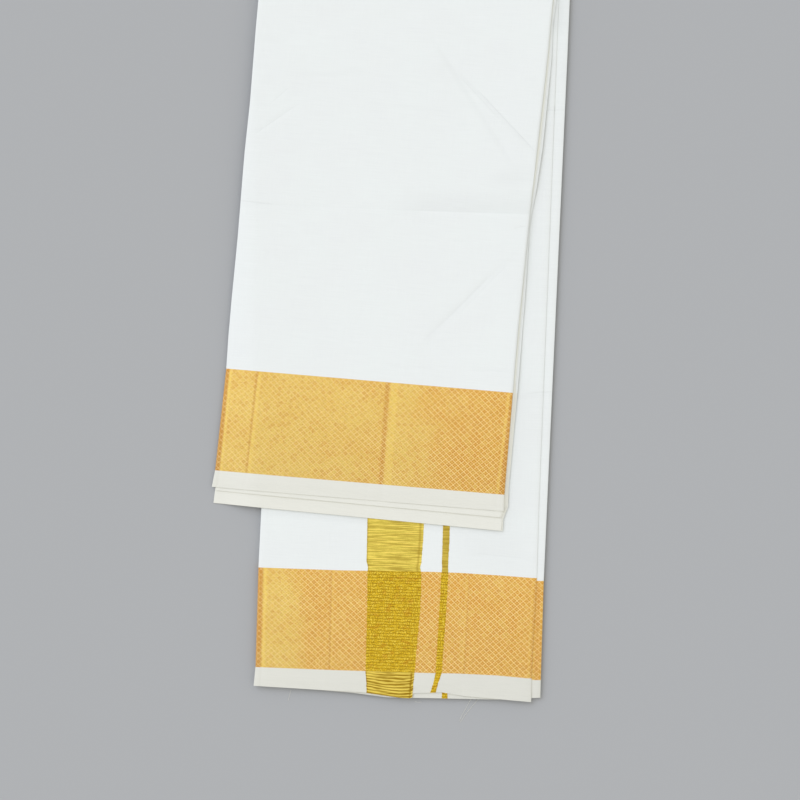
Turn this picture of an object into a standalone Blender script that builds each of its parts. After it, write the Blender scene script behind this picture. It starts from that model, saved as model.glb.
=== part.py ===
"""Folded dhoti: one length of white cotton with woven gold borders and gold end stripes.

The cloth is folded lengthwise into a strip a foot wide. The strip is folded over once and lies flat,
with its front half leaning across its back half, so that the gold border at either selvedge shows.
The ply that is outermost runs from the front half round the fold and under the back half. The plies
between are one rounded solid, layered at its edges. Each ply that shows is cut into its woven
zones: plain ground, gold border, gold stripes and plain selvedge band.

Metres, +Z up. X runs along the gold borders, and Y from the loose ends to the fold. The origin is on
the table, under the middle of the footprint.
"""

import math
from collections import namedtuple

import bmesh
import bpy
from mathutils import Vector

# Driving dimensions of the cloth
FRONT_BORDER = 0.1056
FRONT_SELVEDGE = 0.0198
BACK_BORDER = 0.1030
BACK_SELVEDGE = 0.0223
FRONT_LENGTH = 0.5388
BACK_LENGTH = 0.7363
HIDDEN_FRONT_LENGTH = 0.5554
UNDER_LENGTH = 0.7318

# Runs from the fold at which the zones change, worked out from those
FRONT_BORDER_ENDS = FRONT_LENGTH - FRONT_SELVEDGE
FRONT_BORDER_STARTS = FRONT_BORDER_ENDS - FRONT_BORDER
BACK_BORDER_ENDS = BACK_LENGTH - BACK_SELVEDGE
BACK_BORDER_STARTS = BACK_BORDER_ENDS - BACK_BORDER
UNDER_BORDER_ENDS = UNDER_LENGTH - BACK_SELVEDGE
UNDER_BORDER_STARTS = UNDER_BORDER_ENDS - BACK_BORDER

# Driving dimensions of the pile, from the table up
PLY = 0.0010
GAP = 0.0003
GOLD_PROUD = 0.0002
SUB_PLY = 0.0006
SUB_PLIES = 4

HIDDEN_OUTSIDE = PLY + GAP
HIDDEN_INSIDE = HIDDEN_OUTSIDE + SUB_PLY * SUB_PLIES
SECOND_LEVEL = HIDDEN_INSIDE + GAP
TOP_LEVEL = SECOND_LEVEL + PLY + GAP
FRONT_CLEAR = TOP_LEVEL + PLY + GOLD_PROUD + GAP
PILE = FRONT_CLEAR + HIDDEN_INSIDE
NOSE_RADIUS = PILE / 2
NOSE_ARC = math.pi * NOSE_RADIUS

# How the halves lie, in degrees from straight down the page, and where each starts on the fold line
FOLD_SLOPE = 3.8
BLEND_RUN = 0.030
Strip = namedtuple("Strip", "x y lean")
FRONT = Strip(x=0.0, y=0.0, lean=5.2)
UNDER = Strip(x=0.0, y=0.0, lean=0.9)
BACK = Strip(x=0.0149, y=-0.0010, lean=2.4)

# Sections across each ply: the run from the fold, the reach to its left and right edge, and the slope
Section = namedtuple("Section", "run left right slope")
FRONT_TOP = (
    Section(0.0000, -0.1525, 0.1520, 3.80),
    Section(0.0600, -0.1520, 0.1520, 5.00),
    Section(0.1900, -0.1520, 0.1490, 5.00),
    Section(0.2200, -0.1516, 0.1484, 2.40),
    Section(0.2480, -0.1513, 0.1481, 2.40),
    Section(0.2800, -0.1511, 0.1478, 5.00),
    Section(0.4134, -0.1507, 0.1475, 4.85),
    Section(0.5190, -0.1527, 0.1484, 4.80),
    Section(0.5388, -0.1537, 0.1496, 4.75),
)
FRONT_HIDDEN = (
    Section(0.0000, -0.1515, 0.1680, 3.80),
    Section(0.0150, -0.1514, 0.1630, 4.10),
    Section(0.0300, -0.1512, 0.1525, 4.40),
    Section(0.0600, -0.1508, 0.1500, 5.00),
    Section(0.1900, -0.1508, 0.1476, 5.00),
    Section(0.2200, -0.1502, 0.1470, 2.40),
    Section(0.2480, -0.1500, 0.1467, 2.40),
    Section(0.2800, -0.1498, 0.1464, 5.00),
    Section(0.4134, -0.1492, 0.1460, 5.00),
    Section(0.5190, -0.1504, 0.1475, 5.20),
    Section(0.5554, -0.1514, 0.1486, 5.45),
)
UNDER_OUTER = (
    Section(0.0000, -0.1525, 0.1545, 3.80),
    Section(0.0600, -0.1510, 0.1540, 3.20),
    Section(0.3100, -0.1460, 0.1530, 2.80),
    Section(0.5200, -0.1430, 0.1490, 2.60),
    Section(0.7318, -0.1465, 0.1460, 2.60),
)
UNDER_HIDDEN = (
    Section(0.0000, -0.1515, 0.1680, 3.80),
    Section(0.0600, -0.1500, 0.1650, 3.20),
    Section(0.3100, -0.1455, 0.1565, 2.80),
    Section(0.5200, -0.1420, 0.1510, 2.60),
    Section(0.7318, -0.1455, 0.1475, 2.60),
)
BACK_TOP = (
    Section(0.0000, -0.1430, 0.1430, 3.80),
    Section(0.0600, -0.1432, 0.1432, 2.60),
    Section(0.5403, -0.1442, 0.1444, 2.40),
    Section(0.6110, -0.1436, 0.1454, 2.10),
    Section(0.7140, -0.1423, 0.1443, 2.10),
    Section(0.7363, -0.1435, 0.1449, 2.40),
)
BACK_SECOND = (
    Section(0.0000, -0.1390, 0.1545, 3.80),
    Section(0.0600, -0.1390, 0.1545, 2.60),
    Section(0.5000, -0.1400, 0.1530, 2.40),
    Section(0.6100, -0.1395, 0.1528, 2.40),
    Section(0.7363, -0.1390, 0.1534, 2.40),
)

# The loose end of each back ply: how far from the fold the cloth stops, by its reach across
End = namedtuple("End", "reach run")
TOP_END = (
    End(-0.1435, 0.7339),
    End(-0.0310, 0.7360),
    End(-0.0260, 0.7363),
    End(0.0090, 0.7400),
    End(0.0214, 0.7400),
    End(0.0226, 0.7346),
    End(0.0520, 0.7325),
    End(0.0750, 0.7354),
    End(0.1449, 0.7388),
)
SECOND_END = (
    End(-0.1390, 0.7328),
    End(-0.0400, 0.7370),
    End(-0.0040, 0.7402),
    End(0.0530, 0.7389),
    End(0.1100, 0.7377),
    End(0.1534, 0.7340),
)

# The woven stripes near the cloth's end: their edges across the back half, drawn in at the selvedge
Stripes = namedtuple("Stripes", "run wide_left wide_right narrow_left narrow_right")
STRIPES = (
    Stripes(0.0000, -0.0330, 0.0262, 0.0455, 0.0535),
    Stripes(0.5590, -0.0325, 0.0258, 0.0454, 0.0536),
    Stripes(0.6110, -0.0297, 0.0252, 0.0466, 0.0535),
    Stripes(0.7140, -0.0276, 0.0228, 0.0440, 0.0514),
    Stripes(0.7363, -0.0262, 0.0215, 0.0400, 0.0471),
)
SECOND_STRIPE = (0.0520, 0.0580)

# How the front half's right edge springs up, and the packing crease across it
Lift = namedtuple("Lift", "run rise")
EDGE_LIFT = (
    Lift(0.000, 0.0000),
    Lift(0.050, 0.0012),
    Lift(0.110, 0.0030),
    Lift(0.180, 0.0036),
    Lift(0.234, 0.0004),
    Lift(0.300, 0.0020),
    Lift(0.350, 0.0010),
    Lift(0.400, 0.0028),
    Lift(0.450, 0.0014),
    Lift(0.560, 0.0012),
)
LIFT_STARTS_AT = 0.70
CREASE_RUN = 0.2340
CREASE_HALF_WIDTH = 0.0140
CREASE_RISE = 0.0008

# How the front half droops past the back half's left edge to the table
DROOP_STARTS = 0.004
DROOP_REACH = 0.044

# Spacing of the sections and points that the solids are made of
FRONT_SPACING = 0.0450
FLAT_SPACING = 0.0900
NOSE_CELLS = 8
ACROSS = (0.0, 0.04, 0.08, 0.13, 0.19, 0.27, 0.45, 0.65, 0.78, 0.87, 0.94, 1.0)
ACROSS_PLAIN = (0.0, 0.35, 0.70, 1.0)
ACROSS_STRIPE = (0.0, 0.50, 1.0)
EDGE_ROUND = 0.35 * PLY
GROOVE = 0.0007
SUB_ROUND = 0.0002
SHARP_ANGLE = 40
TOUCHING = 1e-6

# Colours as red, green and blue, with roughness and metallic value
Paint = namedtuple("Paint", "name colour roughness metallic")
COTTON = Paint("cotton ground", (0.86, 0.87, 0.84), 0.90, 0.0)
SELVEDGE_COTTON = Paint("selvedge cotton", (0.76, 0.75, 0.68), 0.90, 0.0)
BORDER_GOLD = Paint("gold lattice border", (0.78, 0.46, 0.11), 0.45, 0.5)
STRIPE_GOLD = Paint("gold end stripe", (0.62, 0.43, 0.05), 0.40, 0.6)


def clear_scene():
    """Leaves the file with no objects."""
    for thing in list(bpy.data.objects):
        bpy.data.objects.remove(thing, do_unlink=True)


def smooth(share):
    """An eased step from 0 to 1."""
    share = min(max(share, 0.0), 1.0)
    return share * share * (3 - 2 * share)


def reading(rows, key):
    """The row of a table at key, on straight lines between the rows on either side of it."""
    if key <= rows[0][0]:
        return rows[0]
    for low, high in zip(rows, rows[1:]):
        if key <= high[0]:
            share = (key - low[0]) / (high[0] - low[0])
            return type(low)(*(a + (b - a) * share for a, b in zip(low, high)))
    return rows[-1]


def plan_point(strip, run, reach, slope):
    """A point of a ply seen from above, given its run from the fold and its reach from the centre line."""
    lean, slope = math.radians(strip.lean), math.radians(slope)
    x = strip.x - math.sin(lean) * run + math.cos(slope) * reach
    y = strip.y - math.cos(lean) * run - math.sin(slope) * reach
    return x, y


def front_rise(x, y, run, share):
    """How far the front half stands above or below its level place."""
    under_left = reading(UNDER_OUTER, -y).left - math.sin(math.radians(UNDER.lean)) * -y
    droop = FRONT_CLEAR * smooth((under_left - x - DROOP_STARTS) / DROOP_REACH)
    lift = reading(EDGE_LIFT, run).rise * smooth((share - LIFT_STARTS_AT) / (1 - LIFT_STARTS_AT))
    ridge = CREASE_RISE * max(0.0, 1 - abs(run - CREASE_RUN) / CREASE_HALF_WIDTH)
    return (lift + ridge - droop) * smooth(run / BLEND_RUN)


def folded_place(front_rows, under_rows):
    """How to place a ply that goes round the fold. Its path is minus the run on the front half, then
    the arc of the fold, then the run on the under side. Its depth is counted in from the outside.
    Between its own two edges a ply follows the outermost one, so that their walls stay side by side."""
    front_guide = FRONT_TOP + (front_rows[-1],)

    def reach_and_slope(rows, guide, run, share, inset):
        row = reading(guide if 0 < share < 1 else rows, run)
        return row.left + (row.right - row.left) * share + inset, row.slope

    def place(share, inset, path, depth):
        if path <= 0:
            reach, slope = reach_and_slope(front_rows, front_guide, -path, share, inset)
            x, y = plan_point(FRONT, -path, reach, slope)
            return Vector((x, y, PILE - depth + front_rise(x, y, -path, share)))
        if path >= NOSE_ARC:
            run = path - NOSE_ARC
            reach, slope = reach_and_slope(under_rows, UNDER_OUTER, run, share, inset)
            x, y = plan_point(UNDER, run, reach, slope)
            return Vector((x, y, depth))
        turn = path / NOSE_RADIUS
        start = reach_and_slope(front_rows, front_guide, 0.0, share, inset)[0]
        end = reach_and_slope(under_rows, UNDER_OUTER, 0.0, share, inset)[0]
        slope = math.radians(FOLD_SLOPE)
        x, y = plan_point(FRONT, 0.0, start + (end - start) * turn / math.pi, FOLD_SLOPE)
        out = (NOSE_RADIUS - depth) * math.sin(turn)
        height = NOSE_RADIUS + (NOSE_RADIUS - depth) * math.cos(turn)
        return Vector((x + math.sin(slope) * out, y + math.cos(slope) * out, height))

    return place


def flat_place(rows, edges, level, end_rows):
    """How to place a panel of a back ply. Its path is the run from the fold, its edges are given as
    functions of the run, and its depth is counted down from level."""

    def place(share, inset, path, depth):
        left, right = edges[0](path), edges[1](path)
        reach = left + (right - left) * share + inset
        in_band = max(0.0, (path - BACK_BORDER_ENDS) / BACK_SELVEDGE)
        run = path + (reading(end_rows, reach).run - BACK_LENGTH) * in_band
        x, y = plan_point(BACK, run, reach, reading(rows, path).slope)
        return Vector((x, y, level - depth))

    return place


Rim = namedtuple("Rim", "depth left right start end")


def ply_rim(top, bottom, round_left=True, round_right=True, round_start=False, round_end=False):
    """The rim of one ply, rounded where the cloth folds or ends and square where a zone meets the next."""
    sides = [EDGE_ROUND * on for on in (round_left, round_right, round_start, round_end)]
    return (
        Rim(top, *sides),
        Rim(top + EDGE_ROUND, 0.0, 0.0, 0.0, 0.0),
        Rim(bottom - EDGE_ROUND, 0.0, 0.0, 0.0, 0.0),
        Rim(bottom, *sides),
    )


# How far each hidden ply stops short of the outline, from the outermost ply to the innermost
Short = namedtuple("Short", "left right start end")
SHORTS = (
    Short(0.0004, 0.0006, 0.0125, 0.0020),
    Short(0.0012, 0.0016, 0.0000, 0.0004),
    Short(0.0000, 0.0010, 0.0016, 0.0014),
    Short(0.0009, 0.0000, 0.0008, 0.0000),
)


def hidden_rim():
    """The rim of the hidden plies: a rounded edge for each, with a groove and a ledge between two."""
    rims = [Rim(HIDDEN_OUTSIDE, *(short + SUB_ROUND for short in SHORTS[0]))]
    for number, shorts in enumerate(SHORTS):
        outside = HIDDEN_OUTSIDE + SUB_PLY * number
        inside = outside + SUB_PLY
        rims.append(Rim(outside + SUB_ROUND, *shorts))
        rims.append(Rim(inside - SUB_ROUND, *shorts))
        if number + 1 < len(SHORTS):
            following = SHORTS[number + 1]
            rims.append(Rim(inside, *(max(pair) + GROOVE for pair in zip(shorts, following))))
            rims.append(Rim(inside, *(short + SUB_ROUND for short in following)))
    rims.append(Rim(HIDDEN_INSIDE, *(short + SUB_ROUND for short in SHORTS[-1])))
    return tuple(rims)


def material(paint):
    """The Principled material of one kind of weave."""
    found = bpy.data.materials.get(paint.name)
    if found:
        return found
    made = bpy.data.materials.new(paint.name)
    made.use_nodes = True
    shader = made.node_tree.nodes["Principled BSDF"]
    shader.inputs["Base Color"].default_value = (*paint.colour, 1.0)
    shader.inputs["Roughness"].default_value = paint.roughness
    shader.inputs["Metallic"].default_value = paint.metallic
    return made


def perimeter(last_i, last_j):
    """The places round the edge of a grid, in order."""
    near = [(i, 0) for i in range(last_i)]
    right = [(last_i, j) for j in range(last_j)]
    far = [(i, last_j) for i in range(last_i, 0, -1)]
    left = [(0, j) for j in range(last_j, 0, -1)]
    return near + right + far + left


def wall(name, place, shares, path, rim, paint):
    """A closed wall of cloth: an outer and an inner grid of points, joined all round through the rim."""
    made = bmesh.new()
    last_i, last_j = len(shares) - 1, len(path) - 1

    def point(i, j, edge):
        inset = edge.left if i == 0 else -edge.right if i == last_i else 0.0
        onward = edge.start if j == 0 else -edge.end if j == last_j else 0.0
        return made.verts.new(place(shares[i], inset, path[j] + onward, edge.depth))

    def grid(edge):
        return {(i, j): point(i, j, edge) for i in range(last_i + 1) for j in range(last_j + 1)}

    outer, inner = grid(rim[0]), grid(rim[-1])
    for i in range(last_i):
        for j in range(last_j):
            around = ((i, j), (i + 1, j), (i + 1, j + 1), (i, j + 1))
            made.faces.new([outer[spot] for spot in around])
            made.faces.new([inner[spot] for spot in (around[0], *reversed(around[1:]))])
    spots = perimeter(last_i, last_j)
    loops = [[outer[spot] for spot in spots]]
    loops += [[point(*spot, edge) for spot in spots] for edge in rim[1:-1]]
    loops.append([inner[spot] for spot in spots])
    for upper, lower in zip(loops, loops[1:]):
        for k in range(len(spots)):
            following = (k + 1) % len(spots)
            made.faces.new((upper[k], lower[k], lower[following], upper[following]))
    bmesh.ops.triangulate(made, faces=made.faces[:], quad_method="FIXED")
    bmesh.ops.recalc_face_normals(made, faces=made.faces[:])
    mesh = bpy.data.meshes.new(name)
    made.to_mesh(mesh)
    made.free()
    mesh.shade_smooth()
    mesh.set_sharp_from_angle(angle=math.radians(SHARP_ANGLE))
    mesh.materials.append(material(paint))
    bpy.context.collection.objects.link(bpy.data.objects.new(name, mesh))


def stops(start, end, marks=(), spacing=FLAT_SPACING):
    """Places along a path from start to end, no further apart than the spacing, and at each mark."""
    fixed = [start] + sorted(mark for mark in marks if start < mark < end) + [end]
    places = [start]
    for low, high in zip(fixed, fixed[1:]):
        cells = math.ceil((high - low) / spacing - TOUCHING)
        places += [low + (high - low) * k / cells for k in range(1, cells + 1)]
    return places


FRONT_MARKS = tuple(-row.run for row in FRONT_HIDDEN) + (-FRONT_LENGTH, -CREASE_RUN)


def folded_stops(front_end, under_end):
    """The path of a ply from its front end, round the fold, to its end on the under side."""
    nose = [NOSE_ARC * k / NOSE_CELLS for k in range(1, NOSE_CELLS)]
    under = [NOSE_ARC + run for run in stops(0.0, under_end, (UNDER_BORDER_STARTS, UNDER_BORDER_ENDS))]
    return stops(-front_end, 0.0, FRONT_MARKS, FRONT_SPACING) + nose + under


def outer_ply():
    """The outermost ply, from the front selvedge round the fold to the under selvedge."""
    place = folded_place(FRONT_TOP, UNDER_OUTER)
    whole = folded_stops(FRONT_LENGTH, UNDER_LENGTH)
    seam = GAP / 2
    cuts = (
        ("front_selvedge", -FRONT_LENGTH, -FRONT_BORDER_ENDS, 0.0, SELVEDGE_COTTON),
        ("front_border", -FRONT_BORDER_ENDS, -FRONT_BORDER_STARTS, GOLD_PROUD, BORDER_GOLD),
        ("outer_ground", -FRONT_BORDER_STARTS, NOSE_ARC + UNDER_BORDER_STARTS, 0.0, COTTON),
        ("under_border", NOSE_ARC + UNDER_BORDER_STARTS, NOSE_ARC + UNDER_BORDER_ENDS, 0.0, BORDER_GOLD),
        ("under_selvedge", NOSE_ARC + UNDER_BORDER_ENDS, NOSE_ARC + UNDER_LENGTH, 0.0, SELVEDGE_COTTON),
    )
    for number, (name, start, end, proud, paint) in enumerate(cuts):
        first, last = number == 0, number == len(cuts) - 1
        path = [start if first else start + seam]
        path += [spot for spot in whole if start + TOUCHING < spot < end - TOUCHING]
        path.append(end if last else end - seam)
        rim = ply_rim(-proud, PLY, round_start=first, round_end=last)
        wall(name, place, ACROSS, path, rim, paint)


def hidden_layers():
    """All the plies between, as one folded solid that is layered at its edges."""
    place = folded_place(FRONT_HIDDEN, UNDER_HIDDEN)
    path = folded_stops(HIDDEN_FRONT_LENGTH, UNDER_LENGTH)
    wall("hidden_layers", place, ACROSS, path, hidden_rim(), COTTON)


def column(rows, field, seam):
    """An edge of a panel as a function of the run, moved off the neighbouring panel by the seam."""
    return lambda run: getattr(reading(rows, run), field) + seam


def back_zones():
    """The ground, border and selvedge band of a back ply, as name, start, end and paint."""
    seam = GAP / 2
    return (
        ("ground", GAP, BACK_BORDER_STARTS - seam, COTTON),
        ("border", BACK_BORDER_STARTS + seam, BACK_BORDER_ENDS - seam, BORDER_GOLD),
        ("selvedge", BACK_BORDER_ENDS + seam, BACK_LENGTH, SELVEDGE_COTTON),
    )


def back_top_ply():
    """The ply that shows on the back half, with the two gold stripes woven through all its zones."""
    seam = GAP / 2
    columns = (
        ("left", column(BACK_TOP, "left", 0.0), column(STRIPES, "wide_left", -seam)),
        ("middle", column(STRIPES, "wide_right", seam), column(STRIPES, "narrow_left", -seam)),
        ("right", column(STRIPES, "narrow_right", seam), column(BACK_TOP, "right", 0.0)),
    )
    level = TOP_LEVEL + PLY
    marks = tuple(row.run for row in BACK_TOP + STRIPES)
    for where, left, right in columns:
        for zone, start, end, paint in back_zones():
            proud = GOLD_PROUD if zone == "border" else 0.0
            place = flat_place(BACK_TOP, (left, right), level, TOP_END)
            rim = ply_rim(-proud, PLY, where == "left", where == "right", False, zone == "selvedge")
            wall(f"back_{zone}_{where}", place, ACROSS_PLAIN, stops(start, end, marks), rim, paint)
    for kind in ("wide", "narrow"):
        edges = (column(STRIPES, f"{kind}_left", seam), column(STRIPES, f"{kind}_right", -seam))
        place = flat_place(BACK_TOP, edges, level, TOP_END)
        rim = ply_rim(-GOLD_PROUD, PLY, False, False, False, True)
        path = stops(GAP, BACK_LENGTH, marks)
        wall(f"{kind}_stripe", place, ACROSS_STRIPE, path, rim, STRIPE_GOLD)


def back_second_ply():
    """The ply under it, which shows along the right edge and, with its own stripe, at the loose end."""
    seam = GAP / 2
    level = SECOND_LEVEL + PLY
    outline = (column(BACK_SECOND, "left", 0.0), column(BACK_SECOND, "right", 0.0))
    stripe = (lambda run: SECOND_STRIPE[0] + seam, lambda run: SECOND_STRIPE[1] - seam)
    beside = (lambda run: SECOND_STRIPE[0] - seam, lambda run: SECOND_STRIPE[1] + seam)
    ground, border, band = back_zones()
    pieces = (
        ("second_ground", outline, ground, (True, True, False, False), COTTON),
        ("second_border", outline, border, (True, True, False, False), BORDER_GOLD),
        ("second_selvedge_left", (outline[0], beside[0]), band, (True, False, False, True), SELVEDGE_COTTON),
        ("second_stripe", stripe, band, (False, False, False, True), STRIPE_GOLD),
        ("second_selvedge_right", (beside[1], outline[1]), band, (False, True, False, True), SELVEDGE_COTTON),
    )
    for name, edges, zone, rounded, paint in pieces:
        place = flat_place(BACK_SECOND, edges, level, SECOND_END)
        shares = ACROSS_STRIPE if name == "second_stripe" else ACROSS_PLAIN
        marks = tuple(row.run for row in BACK_SECOND)
        wall(name, place, shares, stops(zone[1], zone[2], marks), ply_rim(0.0, PLY, *rounded), paint)


def centre_on_table():
    """Moves every piece so that the origin is on the table under the middle of the footprint."""
    solids = [thing for thing in bpy.context.scene.objects if thing.type == "MESH"]
    points = [point.co for solid in solids for point in solid.data.vertices]
    low = Vector(min(point[axis] for point in points) for axis in range(3))
    high = Vector(max(point[axis] for point in points) for axis in range(3))
    middle = Vector(((low.x + high.x) / 2, (low.y + high.y) / 2, low.z))
    for solid in solids:
        for point in solid.data.vertices:
            point.co -= middle
        solid.data.update()


def main():
    clear_scene()
    hidden_layers()
    outer_ply()
    back_second_ply()
    back_top_ply()
    centre_on_table()


main()
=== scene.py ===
"""The looks of a folded dhoti cloth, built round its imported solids.

Every ply that shows is a thin shell of cloth that turns under at its folded edges. It is shaped from
the lengths, leans and sections of the solids, cut into its woven zones, and finished with a woven
material that reads the cloth's own threads from its UV map. Metres, +Z up, as in the solids.
"""

import math
from collections import namedtuple

import bpy
import numpy as np
from bpy.props import FloatProperty, FloatVectorProperty, PointerProperty
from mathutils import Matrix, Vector, noise


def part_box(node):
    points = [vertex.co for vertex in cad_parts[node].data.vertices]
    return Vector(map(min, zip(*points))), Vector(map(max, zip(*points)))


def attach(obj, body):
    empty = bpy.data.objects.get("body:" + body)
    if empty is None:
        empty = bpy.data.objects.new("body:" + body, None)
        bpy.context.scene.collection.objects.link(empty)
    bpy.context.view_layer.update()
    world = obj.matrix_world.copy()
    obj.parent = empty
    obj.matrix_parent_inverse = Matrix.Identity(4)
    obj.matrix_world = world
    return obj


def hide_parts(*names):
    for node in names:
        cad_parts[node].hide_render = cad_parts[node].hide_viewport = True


bl_info = {
    "name": "Folded Dhoti Cloth",
    "version": (1, 0, 0),
    "blender": (4, 5, 0),
    "location": "View3D > Sidebar > Dhoti",
    "description": "Lays a folded cotton dhoti with gold borders on a plain floor",
    "category": "Add Mesh",
}

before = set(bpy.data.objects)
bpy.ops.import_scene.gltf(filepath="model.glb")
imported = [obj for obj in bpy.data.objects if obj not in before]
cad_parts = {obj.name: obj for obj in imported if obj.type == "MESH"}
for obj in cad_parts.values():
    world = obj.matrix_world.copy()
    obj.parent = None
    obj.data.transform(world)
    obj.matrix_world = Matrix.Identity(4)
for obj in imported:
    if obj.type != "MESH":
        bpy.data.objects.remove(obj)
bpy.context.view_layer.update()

# Driving dimensions of the cloth, as in the solids, but for the front half's end, 2 mm shorter here
FRONT_LENGTH = 0.5367
FRONT_SELVEDGE = 0.0172
FRONT_BORDER = 0.1061
BACK_LENGTH = 0.7363
BACK_SELVEDGE = 0.0223
BACK_BORDER = 0.1030
HIDDEN_FRONT_LENGTH = 0.5554
UNDER_LENGTH = 0.7318
STRIP_WIDTH = 0.3000

# Driving dimensions of the pile, from the table up, as in the solids
PLY = 0.0010
GAP = 0.0003
PAIR = 0.0006
PAIRS = 4
GOLD_PROUD = 0.0002
HIDDEN_OUTSIDE = PLY + GAP
HIDDEN_INSIDE = HIDDEN_OUTSIDE + PAIR * PAIRS
SECOND_TOP = HIDDEN_INSIDE + GAP + PLY
BACK_TOP_LEVEL = SECOND_TOP + GAP + PLY
FRONT_CLEAR = BACK_TOP_LEVEL + GOLD_PROUD + GAP
PILE = FRONT_CLEAR + HIDDEN_INSIDE
NOSE_RADIUS = PILE / 2
NOSE_ARC = math.pi * NOSE_RADIUS

# The middle of a ply's face and of the cloth that it turns under, in from the pile's outside
FACE_DEPTH = 0.00016
LINING_DEPTH = 0.00076

# The left corner of the front half's end in the solids
Corner = namedtuple("Corner", "run reach slope")
SOLID_CORNER = Corner(0.5388, -0.1547, 4.75)

# How the halves lie, in degrees from straight down, and where each starts on the fold line
FOLD_SLOPE = 3.8
Strip = namedtuple("Strip", "x y lean")
FRONT = Strip(x=0.0, y=0.0, lean=5.2)
UNDER = Strip(x=0.0, y=0.0, lean=0.9)
BACK = Strip(x=0.0149, y=-0.0010, lean=2.4)

# Sections across each ply: the run from the fold, the reach to its left and right edge, and the slope
Section = namedtuple("Section", "run left right slope")
FRONT_TOP = (
    Section(0.0000, -0.1518, 0.1520, 3.80),
    Section(0.0600, -0.1518, 0.1520, 5.00),
    Section(0.1350, -0.1509, 0.1505, 5.00),
    Section(0.1900, -0.1518, 0.1490, 5.00),
    Section(0.2200, -0.1516, 0.1484, 4.95),
    Section(0.2480, -0.1513, 0.1481, 4.95),
    Section(0.2800, -0.1511, 0.1478, 4.90),
    Section(0.3400, -0.1516, 0.1472, 4.88),
    Section(0.3800, -0.1515, 0.1472, 4.86),
    Section(0.4134, -0.1507, 0.1475, 4.85),
    Section(0.5190, -0.1527, 0.1484, 4.80),
    Section(0.5367, -0.1546, 0.1495, 4.75),
)
FRONT_HIDDEN = (
    Section(0.0000, -0.1515, 0.1560, 3.80),
    Section(0.0300, -0.1513, 0.1545, 4.40),
    Section(0.0650, -0.1508, 0.1562, 5.00),
    Section(0.1550, -0.1508, 0.1553, 5.00),
    Section(0.2000, -0.1505, 0.1528, 4.98),
    Section(0.2380, -0.1500, 0.1492, 4.95),
    Section(0.2620, -0.1499, 0.1500, 4.95),
    Section(0.3150, -0.1498, 0.1512, 4.95),
    Section(0.4000, -0.1492, 0.1522, 5.00),
    Section(0.4700, -0.1497, 0.1523, 5.10),
    Section(0.5100, -0.1502, 0.1522, 5.20),
    Section(0.5300, -0.1507, 0.1533, 5.32),
    Section(0.5430, -0.1511, 0.1496, 5.42),
    Section(0.5554, -0.1516, 0.1500, 5.50),
)
UNDER_OUTER = (
    Section(0.0000, -0.1525, 0.1545, 3.80),
    Section(0.0600, -0.1510, 0.1540, 3.20),
    Section(0.3100, -0.1460, 0.1530, 2.80),
    Section(0.5200, -0.1422, 0.1490, 2.60),
    Section(0.7318, -0.1465, 0.1460, 2.60),
)
UNDER_HIDDEN = (
    Section(0.0000, -0.1515, 0.1689, 3.80),
    Section(0.0600, -0.1500, 0.1661, 3.20),
    Section(0.1300, -0.1488, 0.1638, 3.10),
    Section(0.3100, -0.1455, 0.1571, 2.80),
    Section(0.5200, -0.1415, 0.1513, 2.60),
    Section(0.7318, -0.1455, 0.1480, 2.60),
)
BACK_TOP = (
    Section(0.0000, -0.1430, 0.1430, 3.80),
    Section(0.0600, -0.1432, 0.1432, 2.60),
    Section(0.5403, -0.1430, 0.1444, 2.40),
    Section(0.6110, -0.1436, 0.1454, 2.10),
    Section(0.7140, -0.1423, 0.1443, 2.10),
    Section(0.7363, -0.1435, 0.1449, 2.40),
)
BACK_SECOND = (
    Section(0.0000, -0.1390, 0.1545, 3.80),
    Section(0.0600, -0.1390, 0.1545, 2.60),
    Section(0.5000, -0.1400, 0.1530, 2.40),
    Section(0.6100, -0.1395, 0.1528, 2.40),
    Section(0.7363, -0.1390, 0.1543, 2.40),
)

# The loose end of each back ply: how far from the fold the cloth stops, by its reach across
End = namedtuple("End", "reach run")
TOP_END = (
    End(-0.1435, 0.7339),
    End(-0.0310, 0.7360),
    End(-0.0260, 0.7363),
    End(0.0090, 0.7400),
    End(0.0214, 0.7400),
    End(0.0226, 0.7346),
    End(0.0520, 0.7325),
    End(0.0750, 0.7354),
    End(0.1449, 0.7388),
)
SECOND_END = (
    End(-0.1390, 0.7328),
    End(-0.0400, 0.7370),
    End(-0.0040, 0.7402),
    End(0.0530, 0.7389),
    End(0.1100, 0.7377),
    End(0.1534, 0.7340),
)

# How far the border of each back ply bows along the run, at its start and its end, by its reach across
Bow = namedtuple("Bow", "reach start end")
TOP_BOW = (
    Bow(-0.1436, -0.0009, -0.0005),
    Bow(-0.0585, -0.0010, -0.0003),
    Bow(0.0351, -0.0029, -0.0008),
    Bow(0.0663, -0.0029, -0.0014),
    Bow(0.1079, -0.0017, -0.0009),
    Bow(0.1400, -0.0004, 0.0009),
)
SECOND_BOW = (
    Bow(-0.1436, 0.0000, 0.0000),
    Bow(0.1454, 0.0017, 0.0017),
)
BOW_REACH = 0.080

# A back ply: its sections, its loose end, its bow and the height of its face
Ply = namedtuple("Ply", "rows end_rows bow_rows level")
TOP_PLY = Ply(BACK_TOP, TOP_END, TOP_BOW, BACK_TOP_LEVEL)
SECOND_PLY = Ply(BACK_SECOND, SECOND_END, SECOND_BOW, SECOND_TOP)

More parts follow.
